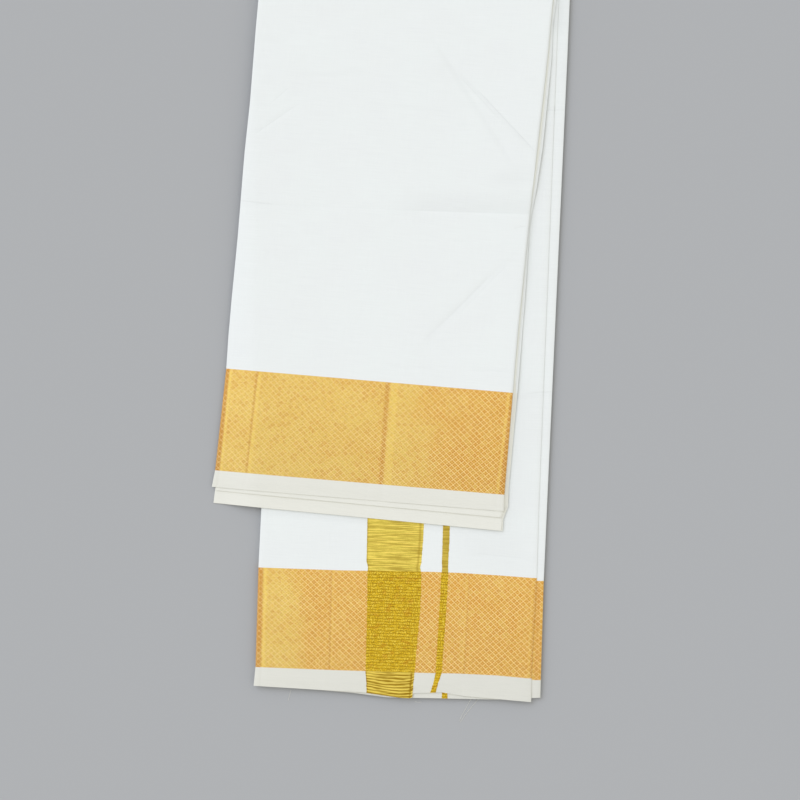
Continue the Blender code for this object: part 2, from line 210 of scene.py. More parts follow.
# The woven stripes near the cloth's end: their edges across the back half, drawn in at the selvedge
Stripes = namedtuple("Stripes", "run wide_left wide_right narrow_left narrow_right")
STRIPES = (
    Stripes(0.0000, -0.0330, 0.0262, 0.0455, 0.0535),
    Stripes(0.5590, -0.0327, 0.0262, 0.0458, 0.0531),
    Stripes(0.6010, -0.0318, 0.0252, 0.0464, 0.0530),
    Stripes(0.6070, -0.0302, 0.0240, 0.0468, 0.0530),
    Stripes(0.6150, -0.0302, 0.0256, 0.0462, 0.0534),
    Stripes(0.6500, -0.0292, 0.0260, 0.0458, 0.0530),
    Stripes(0.7140, -0.0282, 0.0228, 0.0446, 0.0510),
    Stripes(0.7250, -0.0268, 0.0220, 0.0428, 0.0478),
    Stripes(0.7363, -0.0262, 0.0215, 0.0398, 0.0456),
)
WIDE_EDGES = (STRIPES, "wide_left", "wide_right")
NARROW_EDGES = (STRIPES, "narrow_left", "narrow_right")

# The second ply's stripe has the same edges all along
Edge = namedtuple("Edge", "run left right")
SECOND_EDGES = ((Edge(0.0000, 0.0520, 0.0580),), "left", "right")

# How far each pair of hidden plies stops short of the outline, from the outermost pair inwards
Short = namedtuple("Short", "left right end")
SHORTS = (
    Short(0.0006, 0.0038, 0.0137),
    Short(0.0002, 0.0027, 0.0133),
    Short(0.0000, 0.0014, 0.0002),
    Short(0.0008, 0.0000, 0.0000),
)

# How the front half's right edge springs up
Lift = namedtuple("Lift", "run rise")
EDGE_LIFT = (
    Lift(0.000, 0.0000),
    Lift(0.050, 0.0004),
    Lift(0.110, 0.0014),
    Lift(0.180, 0.0018),
    Lift(0.234, 0.0002),
    Lift(0.300, 0.0008),
    Lift(0.350, 0.0004),
    Lift(0.400, 0.0012),
    Lift(0.450, 0.0004),
    Lift(0.560, 0.0006),
)
LIFT_STARTS_AT = 0.70
BLEND_RUN = 0.030

# How the front half droops past the back half's left edge to the table
DROOP_STARTS = 0.004
DROOP_REACH = 0.044

# Creases that run with the strip across a border. Each has its distance from the strip's left edge at
# the selvedge side and at the ground side, the reach of its trough, and how far from it the gold is
# painted dark with shade and bright with a highlight
Line = namedtuple("Line", "near far reach dark_from dark_to bright_from bright_to strength")
FRONT_LINES = (
    Line(0.0053, 0.0043, 0.0011, -0.0070, -0.0008, 0.0000, 0.0021, 1.00),
    Line(0.0336, 0.0338, 0.0013, -0.0016, 0.0000, 0.0006, 0.0040, 0.75),
    Line(0.1744, 0.1720, 0.0040, -0.0045, -0.0005, 0.0010, 0.0085, 0.65),
    Line(0.2930, 0.2965, 0.0012, 0.0016, 0.0090, -0.0016, 0.0010, 0.80),
)
BACK_LINES = (
    Line(0.0067, 0.0062, 0.0012, -0.0080, -0.0012, -0.0002, 0.0030, 0.90),
    Line(0.0778, 0.0766, 0.0015, -0.0018, 0.0000, 0.0004, 0.0020, 0.65),
    Line(0.2160, 0.2165, 0.0014, 0.0012, 0.0030, -0.0004, 0.0012, 0.50),
    Line(0.2856, 0.2856, 0.0010, 0.0008, 0.0040, -0.0016, 0.0002, 0.40),
)
LINE_DEPTH = 0.00028
LINE_FADE = 0.006
LINE_SOFT = 0.0013

# Creases that cross a ply: the points that each passes, from the middle of the fold, its height, and
# how wide it is to the left and to the right of the way it runs
Crease = namedtuple("Crease", "points height left right")
FRONT_CREASES = (
    Crease(((-0.1726, -0.2251), (-0.0600, -0.2320), (0.0104, -0.2350)), -0.00018, 0.0080, 0.0028),
    Crease(((0.0104, -0.2350), (0.0700, -0.2372), (0.1330, -0.2389)), -0.00070, 0.0210, 0.0030),
    Crease(((0.0603, -0.0990), (0.0980, -0.1384), (0.1340, -0.1760)), -0.00055, 0.0030, 0.0024),
    Crease(((0.0312, -0.0654), (0.0686, -0.1164), (0.0946, -0.1559), (0.1090, -0.1880)),
           -0.00060, 0.0060, 0.0040),
    Crease(((-0.1560, -0.1549), (-0.1155, -0.1268)), -0.00026, 0.0030, 0.0026),
    Crease(((-0.1394, -0.1226), (-0.1228, -0.1081)), -0.00022, 0.0026, 0.0024),
    Crease(((0.0156, -0.3712), (0.0416, -0.3473), (0.0790, -0.3098), (0.1090, -0.2818)),
           -0.00055, 0.0034, 0.0050),
    Crease(((-0.0136, -0.3983), (0.0239, -0.3990)), -0.00016, 0.0030, 0.0030),
    Crease(((0.0700, -0.3985), (0.1140, -0.4015)), -0.00045, 0.0052, 0.0024),
    Crease(((-0.1080, -0.0970), (-0.0420, -0.0935)), -0.00014, 0.0040, 0.0030),
    Crease(((-0.0410, -0.1250), (0.0060, -0.1340)), -0.00014, 0.0044, 0.0030),
    Crease(((-0.1640, -0.2700), (-0.1170, -0.2950)), -0.00018, 0.0040, 0.0050),
    Crease(((0.0500, -0.0430), (0.0967, -0.0634)), -0.00026, 0.0070, 0.0050),
)
BACK_CREASES = (
    Crease(((0.0700, -0.4310), (0.1600, -0.4230)), -0.00035, 0.0030, 0.0022),
    Crease(((0.1200, -0.1320), (0.1700, -0.1300)), -0.00035, 0.0020, 0.0020),
    Crease(((-0.1480, -0.5820), (-0.1080, -0.5850)), -0.00020, 0.0040, 0.0024),
    Crease(((0.0700, -0.5900), (0.1250, -0.5960)), -0.00024, 0.0060, 0.0030),
)
# The share of a crease's length over which it fades at each end
CREASE_FADE = 0.18

# The sharp lines along those creases, which the threads themselves show: pressed into the bump, and
# darkened in the cotton's white as painted shade
Press = namedtuple("Press", "start end depth width")
DEEPEST_PRESS = 0.00016
PRESS_FADE = 0.12
FRONT_PRESSES = (
    Press((0.0759, -0.1133), (0.1310, -0.1725), 0.00016, 0.0010),
    Press((0.0572, -0.0987), (0.0930, -0.1380), 0.00008, 0.0012),
    Press((-0.1726, -0.2251), (-0.1405, -0.2289), 0.00014, 0.0010),
    Press((-0.1405, -0.2289), (0.0104, -0.2350), 0.00004, 0.0010),
    Press((0.0104, -0.2350), (0.1320, -0.2389), 0.00003, 0.0016),
    Press((-0.1560, -0.1549), (-0.1155, -0.1268), 0.00010, 0.0009),
    Press((-0.1394, -0.1226), (-0.1228, -0.1081), 0.00009, 0.0009),
    Press((0.0170, -0.3699), (0.0440, -0.3450), 0.00005, 0.0018),
    Press((0.0440, -0.3450), (0.0810, -0.3078), 0.00009, 0.0020),
    Press((0.0560, -0.3400), (0.1000, -0.2950), 0.00005, 0.0018),
    Press((0.1105, -0.2536), (0.1220, -0.2516), 0.00010, 0.0010),
)
BACK_PRESSES = (
    Press((0.1250, -0.4245), (0.1600, -0.4225), 0.00012, 0.0010),
    Press((0.1300, -0.1316), (0.1700, -0.1300), 0.00010, 0.0010),
    Press((0.0760, -0.5915), (0.1200, -0.5955), 0.00006, 0.0012),
)

# The soft painted shade taken from the white beside some of them, and on the back plies also in the fold's
# corner, under the front half's loose end and over the lower right: its line, and how far it reaches to the
# left and the right of it
Shade = namedtuple("Shade", "start end left right level")
SHADE_FADE = 0.22
FRONT_SHADES = (
    Shade((0.0000, -0.2345), (0.1500, -0.2391), 0.0280, 0.0014, 0.036),
    Shade((0.0900, -0.2020), (0.1560, -0.1965), 0.0120, 0.0160, 0.022),
    Shade((-0.1726, -0.2262), (-0.1000, -0.2310), 0.0050, 0.0080, 0.010),
    Shade((0.0520, -0.0900), (0.1340, -0.1760), 0.0020, 0.0070, 0.022),
    Shade((0.0312, -0.0654), (0.1090, -0.1880), 0.0040, 0.0060, 0.018),
    Shade((0.0170, -0.3720), (0.1080, -0.2830), 0.0050, 0.0060, 0.014),
    Shade((0.0700, -0.4000), (0.1150, -0.4025), 0.0050, 0.0030, 0.018),
    Shade((-0.0200, -0.3960), (0.0300, -0.3985), 0.0040, 0.0030, 0.010),
    Shade((-0.1640, -0.1560), (-0.1100, -0.1230), 0.0050, 0.0030, 0.008),
    Shade((-0.1050, -0.0950), (-0.0380, -0.0930), 0.0060, 0.0040, 0.008),
    Shade((-0.0400, -0.1240), (0.0450, -0.1330), 0.0040, 0.0030, 0.008),
)
# Painted shade on the back plies: the fold's corner, the front half's shadow below its loose end, a broad
# shade over the lower right, and beside two creases
BACK_SHADES = (
    Shade((0.1530, 0.0040), (0.1520, -0.0480), 0.0190, 0.0040, 0.070),
    Shade((-0.2100, -0.5395), (0.0750, -0.5655), 0.0020, 0.0090, 0.045),
    Shade((0.1150, -0.4300), (0.0950, -0.6150), 0.0500, 0.0700, 0.022),
    Shade((0.0700, -0.4330), (0.1650, -0.4240), 0.0050, 0.0040, 0.014),
    Shade((0.0600, -0.5900), (0.1300, -0.5960), 0.0080, 0.0040, 0.010),
)

# The place near the front ply's right edge where it sinks before the packing crease
Dip = namedtuple("Dip", "x y wide high depth")
DIP = Dip(0.1190, -0.2000, 0.0140, 0.0130, 0.00040)
SWELL_HEIGHT = 0.00030
SWELL_SIZE = 0.055
RIPPLE_HEIGHT = 0.00006
RIPPLE_SIZE = 0.012

# How far the edges of a pile round down
SHOULDER_REACH = 0.0030
FRONT_SHOULDER = 0.10
BACK_SHOULDER = 0.00042

# At its loose end a ply sinks onto what is under it: the share of its depth that stays, and the rest
SAG_REACH = 0.010
SAG_KEEPS = 0.55
SAG_DEPTH = 0.00072

# Spacing of the points that the shells are made of
FINE_STEP = 0.0008
FACE_STEP = 0.0027
PLAIN_FACE_STEP = 0.0021
STRIPE_STEP = 0.0014
FINE_REACH = 0.0030
HIDDEN_STEP = 0.0110
PLAIN_STEP = 0.0200
TURN_STEPS = 6
NOSE_STEPS = 12
LINING_SHARES = (0.0, 0.02, 0.04, 0.06, 0.08, 0.10, 0.12, 0.145, 0.17, 0.20, 0.28, 0.40,
                 0.52, 0.64, 0.72, 0.78, 0.83, 0.88, 0.93)
HIDDEN_SHARES = LINING_SHARES + (0.965, 1.0)
FLAP_SHARES = (0.955, 0.98, 1.0)
SMOOTH_ANGLE = math.radians(55)
TOUCHING = 1e-7

# The run to which the front half hides the back plies, and the runs there that get rows of their own
COVERED_ENDS = 0.4700
COVERED_MARKS = (0.0420, 0.1320, 0.4230)

# Along the folded cloth, where the painted shade of the cotton between the plies starts and ends fading
# to white
INNER_FADE_FROM = STRIP_WIDTH * 0.5
INNER_FADE_TO = STRIP_WIDTH * -4.5

# The middle of the picture from the middle of the fold, and how wide the floor is
PICTURE_MIDDLE = Vector((-0.0073, -0.4316, 0.0))
FLOOR_SIZE = 14.0

# The width of the camera's sensor in millimetres, and how far the camera sees
SENSOR_WIDTH = 36.0
SEEN_TO = 20.0

# Where the soft key light stands from the middle of the picture, and how wide it looks
KEY_PLACE = Vector((-1.5, 1.3, 1.9))
KEY_ANGLE = math.radians(50)

# The tint of the key light, and of the light all round that is left in the shade
KEY_TINT = (0.90, 0.96, 1.18)
FILL_TINT = (1.02, 1.005, 0.955)

# Runs from the fold at which the zones change, worked out from the driving dimensions
FRONT_BORDER_ENDS = FRONT_LENGTH - FRONT_SELVEDGE
FRONT_BORDER_STARTS = FRONT_BORDER_ENDS - FRONT_BORDER
BACK_BORDER_ENDS = BACK_LENGTH - BACK_SELVEDGE
BACK_BORDER_STARTS = BACK_BORDER_ENDS - BACK_BORDER
UNDER_BORDER_ENDS = NOSE_ARC + UNDER_LENGTH - BACK_SELVEDGE
UNDER_BORDER_STARTS = UNDER_BORDER_ENDS - BACK_BORDER
UNDER_ENDS = NOSE_ARC + UNDER_LENGTH


def column(rows, field):
    """One named column of a table, with the column that the table is sorted by."""
    return [row[0] for row in rows], [getattr(row, field) for row in rows]


def read(rows, field, keys):
    """A column of a table at each key, on straight lines between the rows."""
    places, values = column(rows, field)
    return np.interp(keys, places, values)


def ease(share):
    """An eased step from 0 to 1."""
    share = np.clip(share, 0.0, 1.0)
    return share * share * (3 - 2 * share)


def read_eased(rows, field, keys):
    """A column of a table at each key, on eased curves between the rows."""
    places, values = column(rows, field)
    spot = np.clip(np.interp(keys, places, range(len(places))), 0, len(places) - 1)
    low = np.minimum(spot.astype(int), len(places) - 2)
    values = np.array(values)
    return values[low] + (values[low + 1] - values[low]) * ease(spot - low)


def plan(strip, run, reach, slope):
    """Where a point of a strip lies, seen from above, from the middle of the fold."""
    lean, slope = math.radians(strip.lean), np.radians(slope)
    x = strip.x - math.sin(lean) * run + np.cos(slope) * reach
    y = strip.y - math.cos(lean) * run - np.sin(slope) * reach
    return x, y


def fold_middle():
    """The middle of the fold in the frame: two corners of the solids lie where the tables say."""
    left = plan(FRONT, *SOLID_CORNER)[0]
    bottom = plan(BACK, TOP_END[-1].run, BACK_TOP[-1].right, BACK_TOP[-1].slope)[1]
    return Vector((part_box("front_selvedge")[0].x - left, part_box("back_selvedge_right")[0].y - bottom, 0.0))


FOLD_MIDDLE = fold_middle()


def roll(x, y, size, seed):
    """Smooth uneven values from about -1 to 1, that change over the given size."""
    spots = zip(x.ravel() / size, y.ravel() / size)
    return np.array([noise.noise((a, b, seed)) for a, b in spots]).reshape(x.shape)


def beside_line(x, y, start, end):
    """The length of a line, how far along it each place lies, and how far to its left. The places are
    arrays, or values in a material."""
    length = math.dist(start, end)
    along_x, along_y = (end[0] - start[0]) / length, (end[1] - start[1]) / length
    along = (x - start[0]) * along_x + (y - start[1]) * along_y
    away = (y - start[1]) * along_x - (x - start[0]) * along_y
    return length, along, away


def crease_height(x, y, creases):
    """The ridges and troughs of some creases. Each fades at its ends and is uneven along its length."""
    total = np.zeros_like(x)
    for number, crease in enumerate(creases):
        strongest = np.zeros_like(x)
        spans = list(zip(crease.points, crease.points[1:]))
        whole = sum(math.dist(start, end) for start, end in spans)
        gone = 0.0
        for start, end in spans:
            length, along, away = beside_line(x, y, start, end)
            inside = np.clip(along, 0, length)
            width = np.where(away > 0, crease.left, crease.right)
            travelled = (gone + inside) / whole
            fade = ease(travelled / CREASE_FADE) * ease((1 - travelled) / CREASE_FADE)
            uneven = 0.75 + 0.25 * np.sin(travelled * (9 + number) + number * 1.7)
            here = fade * uneven * np.exp(-(np.hypot(along - inside, away) / width) ** 1.5)
            strongest = np.maximum(strongest, here)
            gone += length
        total += crease.height * strongest
    return total


def line_depth(along, run, lines, starts, ends):
    """The shallow troughs of the creases that run with the strip, which fade beside the border."""
    share = (ends - run) / (ends - starts)
    total = np.zeros_like(along)
    for line in lines:
        place = line.near + (line.far - line.near) * share
        total -= LINE_DEPTH * line.strength * np.exp(-((along - place) / line.reach) ** 2)
    return total * ease((run - starts) / LINE_FADE)


def front_rise(x, y, run, share):
    """How far the whole front half stands above or below its level place."""
    under_left = read(UNDER_OUTER, "left", -y) + math.sin(math.radians(UNDER.lean)) * y
    droop = FRONT_CLEAR * ease((under_left - x - DROOP_STARTS) / DROOP_REACH)
    lift = read_eased(EDGE_LIFT, "rise", run) * ease((share - LIFT_STARTS_AT) / (1 - LIFT_STARTS_AT))
    return (lift - droop) * ease(run / BLEND_RUN)


def front_face(x, y, run, along):
    """What the front ply's face adds to that: creases, a dip and a slow swell."""
    total = crease_height(x, y, FRONT_CREASES)
    total += line_depth(along, run, FRONT_LINES, FRONT_BORDER_STARTS, FRONT_BORDER_ENDS)
    total -= DIP.depth * np.exp(-((x - DIP.x) / DIP.wide) ** 2 - ((y - DIP.y) / DIP.high) ** 2)
    total += SWELL_HEIGHT * (0.5 + roll(x, y, SWELL_SIZE, 3.1)) + RIPPLE_HEIGHT * roll(x, y, RIPPLE_SIZE, 8.3)
    return total * ease(run / BLEND_RUN)


def sagged(depth, left_to_end):
    """The depth of a ply that sinks, near its loose end, onto what is under it."""
    share = 1 - ease(left_to_end / SAG_REACH)
    return depth + share * (SAG_DEPTH - (1 - SAG_KEEPS) * depth)


def shoulder(distance):
    """How far the edge of a pile has rounded down, from 1 at the edge to 0 inside."""
    return 1 - ease(distance / SHOULDER_REACH)


# A run of cloth across the strip: its depth in from the outside, and the shares it passes in order
Run = namedtuple("Run", "depth shares")
Stations = namedtuple("Stations", "share inset depth along run_number")


def stations(runs, face, width):
    """The points across a ply that is folded to and fro, with a round turn where one run meets the
    next. Along is the distance on the cloth, from the left edge of the run that is the face."""
    rows = []
    for number, (depth, shares) in enumerate(runs):
        radii = [abs(runs[k].depth - depth) / 2 for k in (number - 1, number + 1) if 0 <= k < len(runs)]
        radius = min(radii)
        rows += [(share, radius * (1 - 2 * share), depth, number) for share in shares]
        if number + 1 < len(runs):
            edge = shares[-1]
            inward = 1 if edge == 0 else -1
            drop = runs[number + 1].depth - depth
            for step in range(1, TURN_STEPS):
                angle = math.pi * step / TURN_STEPS
                inset = inward * abs(drop) / 2 * (1 - math.sin(angle))
                rows.append((edge, inset, depth + drop * (1 - math.cos(angle)) / 2, number))
    share, inset, depth, number = (np.array(values) for values in zip(*rows))
    place = share * width + inset
    steps = np.hypot(np.diff(place), np.diff(depth))
    along = np.concatenate(([0.0], np.cumsum(steps)))
    on_face = np.flatnonzero(number == face)
    left = on_face[np.argmin(place[on_face])]
    rightward = 1 if share[on_face[-2]] > share[on_face[0]] else -1
    return Stations(share, inset, depth, (along - along[left]) * rightward, number)


def graded(start, end, marks, coarse=FACE_STEP, fine=FINE_STEP):
    """Places from start to end, fine near each mark and coarse between, with each mark among them."""
    fixed = sorted({start, end, *(mark for mark in marks if start < mark < end)})
    places = [start]
    for low, high in zip(fixed, fixed[1:]):
        spot, steps = 0.0, []
        length = high - low
        while spot < length:
            near = min(spot, length - spot)
            step = fine + (coarse - fine) * min(near / FINE_REACH, 1.0)
            steps.append(step)
            spot += step
        scale = length / sum(steps)
        places += list(low + np.cumsum(steps) * scale)
    return np.array(places)


def even(start, end, step, marks=()):
    """Places from start to end, evenly spaced between the marks."""
    fixed = sorted({start, end, *(mark for mark in marks if start < mark < end)})
    places = [start]
    for low, high in zip(fixed, fixed[1:]):
        cells = max(1, round((high - low) / step))
        places += list(np.linspace(low, high, cells + 1)[1:])
    return np.array(places)


def lay_folded(front_rows, under_rows, across, path, shorten=None, face=None):
    """The points of a ply that goes round the fold. Its path is minus the run on the front half, then
    the arc of the fold, then the run on the under side."""
    share, inset, depth = across.share[None, :], across.inset[None, :], across.depth[None, :]
    path = path[:, None]
    front_run = np.maximum(-path, 0.0)
    under_run = np.maximum(path - NOSE_ARC, 0.0)
    if shorten is not None:
        front_run = front_run - shorten[None, :] * ease(front_run / FRONT_LENGTH)
    turn = np.clip(path / NOSE_RADIUS, 0.0, math.pi)
    reaches = []
    for rows, run in ((front_rows, front_run), (under_rows, under_run)):
        left, right = read(rows, "left", run), read(rows, "right", run)
        reaches.append(left + (right - left) * share + inset)
    mix = turn / math.pi
    reach = reaches[0] * (1 - mix) + reaches[1] * mix
    slope = np.where(path <= 0, read(front_rows, "slope", front_run), read(under_rows, "slope", under_run))
    if face is not None:
        depth = sagged(depth, FRONT_LENGTH - front_run)
    front_x, front_y = plan(FRONT, front_run, reach, slope)
    under_x, under_y = plan(UNDER, under_run, reach, slope)
    x, y = np.where(path <= 0, front_x, under_x), np.where(path <= 0, front_y, under_y)
    out = (NOSE_RADIUS - depth) * np.sin(turn)
    x, y = x + math.sin(math.radians(FOLD_SLOPE)) * out, y + math.cos(math.radians(FOLD_SLOPE)) * out
    z = NOSE_RADIUS + (NOSE_RADIUS - depth) * np.cos(turn)
    outer_left, outer_right = read(FRONT_TOP, "left", front_run), read(FRONT_TOP, "right", front_run)
    rounding = FRONT_SHOULDER * (shoulder(reach - outer_left) + shoulder(outer_right - reach))
    rounding = np.minimum(rounding, FRONT_SHOULDER) * ease(front_run / BLEND_RUN)
    outer_share = np.clip((reach - outer_left) / (outer_right - outer_left), 0, 1)
    raised = FRONT_CLEAR + (z - FRONT_CLEAR) * (1 - rounding) + front_rise(x, y, front_run, outer_share)
    if face is not None:
        on_face = ((across.run_number == face) & (across.depth < LINING_DEPTH * 0.75))[None, :]
        along = np.broadcast_to(across.along[None, :], x.shape)
        raised = raised + np.where(on_face, front_face(x, y, front_run, along), 0.0)
    return np.stack((x, y, np.where(path <= 0, raised, z)), axis=-1)


def bowed(ply, reach, path):
    """How far a back ply bows along the run: as its table says at the border, and less away from it."""
    share = np.clip((path - BACK_BORDER_STARTS) / BACK_BORDER, 0.0, 1.0)
    start, end = read(ply.bow_rows, "start", reach), read(ply.bow_rows, "end", reach)
    return (start + (end - start) * share) * (1 - ease((BACK_BORDER_STARTS - path) / BOW_REACH))


def lay_back(ply, across, path):
    """The points of a ply on the back half. Its path is the run from the fold."""
    share, inset = across.share[None, :], across.inset[None, :]
    path = path[:, None]
    depth = sagged(across.depth[None, :], BACK_LENGTH - path)
    left, right = read(ply.rows, "left", path), read(ply.rows, "right", path)
    reach = left + (right - left) * share + inset
    in_band = np.clip((path - BACK_BORDER_ENDS) / BACK_SELVEDGE, 0.0, 1.0)
    run = path + (read(ply.end_rows, "run", reach) - BACK_LENGTH) * in_band
    run = run + bowed(ply, reach, path) * (1 - in_band)
    x, y = plan(BACK, run, reach, read(ply.rows, "slope", path))
    z = ply.level - depth - BACK_SHOULDER * (shoulder(reach - left) + shoulder(right - reach))
    on_face = (across.depth < LINING_DEPTH / 2)[None, :]
    along = np.broadcast_to(across.along[None, :], x.shape)
    relief = crease_height(x, y, BACK_CREASES)
    relief += line_depth(along, path, BACK_LINES, BACK_BORDER_STARTS, BACK_BORDER_ENDS)
    relief += RIPPLE_HEIGHT * roll(x, y, RIPPLE_SIZE, 5.7)
    return np.stack((x, y, z + np.where(on_face, relief, 0.0)), axis=-1)


def deselect():
    """Leaves nothing selected, the solids included."""
    bpy.ops.object.select_all(action="DESELECT")


def woven_sheet(name, points, along, down):
    """A sheet of cloth: a grid added with one point for each given point, then moved to them. Its UV
    map holds the place on the flat cloth, in metres."""
    high, wide = points.shape[:2]
    deselect()
    bpy.ops.mesh.primitive_grid_add(x_subdivisions=wide - 1, y_subdivisions=high - 1, size=1, calc_uvs=True)
    piece = bpy.context.object
    piece.name = piece.data.name = name
    mesh = piece.data
    mesh.vertices.foreach_set("co", (points + np.array(FOLD_MIDDLE)).astype(np.float32).ravel())
    corner = np.empty(len(mesh.loops), np.int32)
    mesh.loops.foreach_get("vertex_index", corner)
    flat = np.stack((along[corner % wide], down[corner // wide]), axis=-1)
    mesh.uv_layers[0].name = "Cloth"
    mesh.uv_layers[0].data.foreach_set("uv", flat.astype(np.float32).ravel())
    mesh.update()
    return piece


def thicken(piece, thickness):
    """Gives a sheet the thickness of the cloth, and shades it smooth but for its cut edges."""
    deselect()
    piece.select_set(True)
    bpy.context.view_layer.objects.active = piece
    solid = piece.modifiers.new("Thickness", "SOLIDIFY")
    solid.thickness = thickness
    solid.offset = 0.0
    solid.use_rim = True
    bpy.ops.object.modifier_apply(modifier=solid.name)
    bpy.ops.object.shade_smooth_by_angle(angle=SMOOTH_ANGLE)


# A woven zone of a ply: its name, its start and end on the path, its weave and the nodes it replaces
Zone = namedtuple("Zone", "name start end weave nodes")


def zone_pieces(zones, lay, acrosses, path, first_end, looks):
    """Cuts a ply into its woven zones, each one a finished piece of its own. Down is the distance from
    the zone's selvedge side, which is at its first end on the front half and at its last end behind."""
    cloth = bpy.context.scene.dhoti_cloth
    for zone in zones:
        across = acrosses[zone.weave]
        rows = path[(path > zone.start - TOUCHING) & (path < zone.end + TOUCHING)]
        down = rows - zone.start if first_end else zone.end - rows
        piece = woven_sheet(zone.name, lay(across, rows), across.along, down)
        thicken(piece, cloth.thickness)
        piece.data.materials.append(looks[zone.weave])
        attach(piece, "root")
        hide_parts(*zone.nodes)
        wide = float(across.along.max() - across.along.min())
        float(zone.end - zone.start)


class Wire:
    """A socket of a material. Arithmetic on it adds the Math nodes that work it out."""

    def __init__(self, finish, socket):
        self.finish = finish
        self.socket = socket

    def maths(self, operation, first, second=0.0):
        return self.finish.node("ShaderNodeMath", {"operation": operation}, {0: first, 1: second})

    def __add__(self, other):
        return self.maths("ADD", self, other)

    def __sub__(self, other):
        return self.maths("SUBTRACT", self, other)

    def __rsub__(self, other):
        return self.maths("SUBTRACT", other, self)

    def __mul__(self, other):
        return self.maths("MULTIPLY", self, other)

    def __truediv__(self, other):
        return self.maths("DIVIDE", self, other)

    __radd__ = __add__
    __rmul__ = __mul__

    def size(self):
        """The value without its sign."""
        return self.maths("ABSOLUTE", self)

    def fraction(self):
        return self.maths("FRACT", self)

    def whole(self):
        return self.maths("FLOOR", self)

    def sine(self):
        return self.maths("SINE", self)

    def least(self, other):
        return self.maths("MINIMUM", self, other)

    def most(self, other):
        return self.maths("MAXIMUM", self, other)

    def off_line(self, spacing):
        """How far the value is from the nearest whole number of spacings."""
        return self.maths("PINGPONG", self, spacing / 2)

    def over(self, low, high):
        """An eased step that is 0 at low and 1 at high."""
        settings = {"interpolation_type": "SMOOTHSTEP"}
        inputs = {"Value": self, "From Min": low, "From Max": high}
        return self.finish.node("ShaderNodeMapRange", settings, inputs)

    def near(self, place, reach):
        """A soft mask that is 1 at a place and 0 a reach away from it."""
        return 1 - (self - place).size().over(0.0, reach)

    def within(self, start, end, soft):
        """A mask that is 1 between two places, with soft sides."""
        return self.over(start - soft, start + soft) * (1 - self.over(end - soft, end + soft))

    def mix(self, first, second):
        """The first colour where this mask is 0 and the second where it is 1."""
        return self.finish.node("ShaderNodeMix", {"data_type": "RGBA"}, {0: self, 6: first, 7: second}, 2)

    def scaled(self, factor):
        """This colour, each part of it times a value."""
        spread = self.finish.node("ShaderNodeCombineXYZ", None, {0: factor, 1: factor, 2: factor})
        return self.finish.node("ShaderNodeVectorMath", {"operation": "MULTIPLY"}, {0: self, 1: spread})


class Finish:
    """A material under way: its nodes, its shader, and the place on the flat cloth."""

    def __init__(self, name):
        self.material = bpy.data.materials.new(name)
        self.material.use_nodes = True
        self.tree = self.material.node_tree
        self.shader = self.tree.nodes["Principled BSDF"]
        flat = self.node("ShaderNodeUVMap", {"uv_map": "Cloth"})
        self.along = self.part(flat, 0)
        self.down = self.part(flat, 1)

    def node(self, kind, settings=None, inputs=None, output=0, stops=()):
        """Adds a node of any type, sets it and its ramp, joins its inputs, and returns one output."""
        made = self.tree.nodes.new(kind)
        for key, value in (settings or {}).items():
            setattr(made, key, value)
        for number, (position, level) in enumerate(stops):
            ramp = made.color_ramp.elements
            stop = ramp[number] if number < len(ramp) else ramp.new(position)
            stop.position = position
            stop.color = (level, level, level, 1.0)
        self.fill(made, inputs or {})
        return Wire(self, made.outputs[output])

    def fill(self, node, inputs):
        """Joins values to the sockets of a node, or sets the sockets to them."""
        for key, value in inputs.items():
            socket = node.inputs[key]
            if isinstance(value, Wire):
                self.tree.links.new(value.socket, socket)
            elif socket.type == "RGBA":
                socket.default_value = (*value[:3], 1.0)
            else:
                socket.default_value = value

    def part(self, vector, number):
        """One part of a vector."""
        return self.node("ShaderNodeSeparateXYZ", None, {0: vector}, number)

    def noise(self, along_size, down_size, detail=2.0, seed=0.0):
        """Uneven values from 0 to 1 that change over one size along the border and one down it."""
        place = self.node(
            "ShaderNodeCombineXYZ", None, {0: self.along / along_size + seed, 1: self.down / down_size + seed}
        )
        inputs = {"Vector": place, "Scale": 1.0, "Detail": detail, "Roughness": 0.55}
        return self.node("ShaderNodeTexNoise", {"noise_dimensions": "2D"}, inputs, "Fac")

    def chance(self, first, second):
        """One random value from 0 to 1 for each pair of whole numbers that two values pass."""
        place = self.node("ShaderNodeCombineXYZ", None, {0: first.whole(), 1: second.whole()})
        return self.node("ShaderNodeTexWhiteNoise", {"noise_dimensions": "2D"}, {"Vector": place})

    def from_fold(self):
        """How far each place is to the right of the middle of the fold, and how far up the picture."""
        place = self.node("ShaderNodeTexCoord", None, None, "Object")
        return self.part(place, 0) - FOLD_MIDDLE.x, self.part(place, 1) - FOLD_MIDDLE.y

    def pressed(self, presses):
        """The depth of the sharp lines of creases, and a mask of where they are, darkened as painted shade."""
        x, y = self.from_fold()
        depth, mask = 0.0, 0.0
        for press in presses:
            length, along, away = beside_line(x, y, press.start, press.end)
            line = along.within(0.0, length, length * PRESS_FADE) * away.near(0.0, press.width)
            depth = line * press.depth + depth
            mask = line * (press.depth / DEEPEST_PRESS) + mask
        return depth, mask

    def shaded(self, shades):
        """How much the soft painted shades of a table take from the white."""
        x, y = self.from_fold()
        total = 0.0
        for shade in shades:
            length, along, away = beside_line(x, y, shade.start, shade.end)
            beside = (1 - away.over(0.0, shade.left)) * away.over(-shade.right, 0.0)
            total = along.within(0.0, length, length * SHADE_FADE) * beside * shade.level + total
        return total

    def complete(self, colour, height, roughness, metallic=0.0, sheen=0.0, glance=0.5):
        """Joins the colour and the raised threads, in metres, to the shader, and sets what is even."""
        raised = self.node("ShaderNodeBump", None, {"Strength": 1.0, "Distance": 1.0, "Height": height})
        self.fill(self.shader, {
            "Base Color": colour,
            "Normal": raised,
            "Roughness": roughness,
            "Metallic": metallic,
            "Specular IOR Level": glance,
            "Sheen Weight": sheen,
        })
        return self.material


THREAD_RELIEF = 0.00004


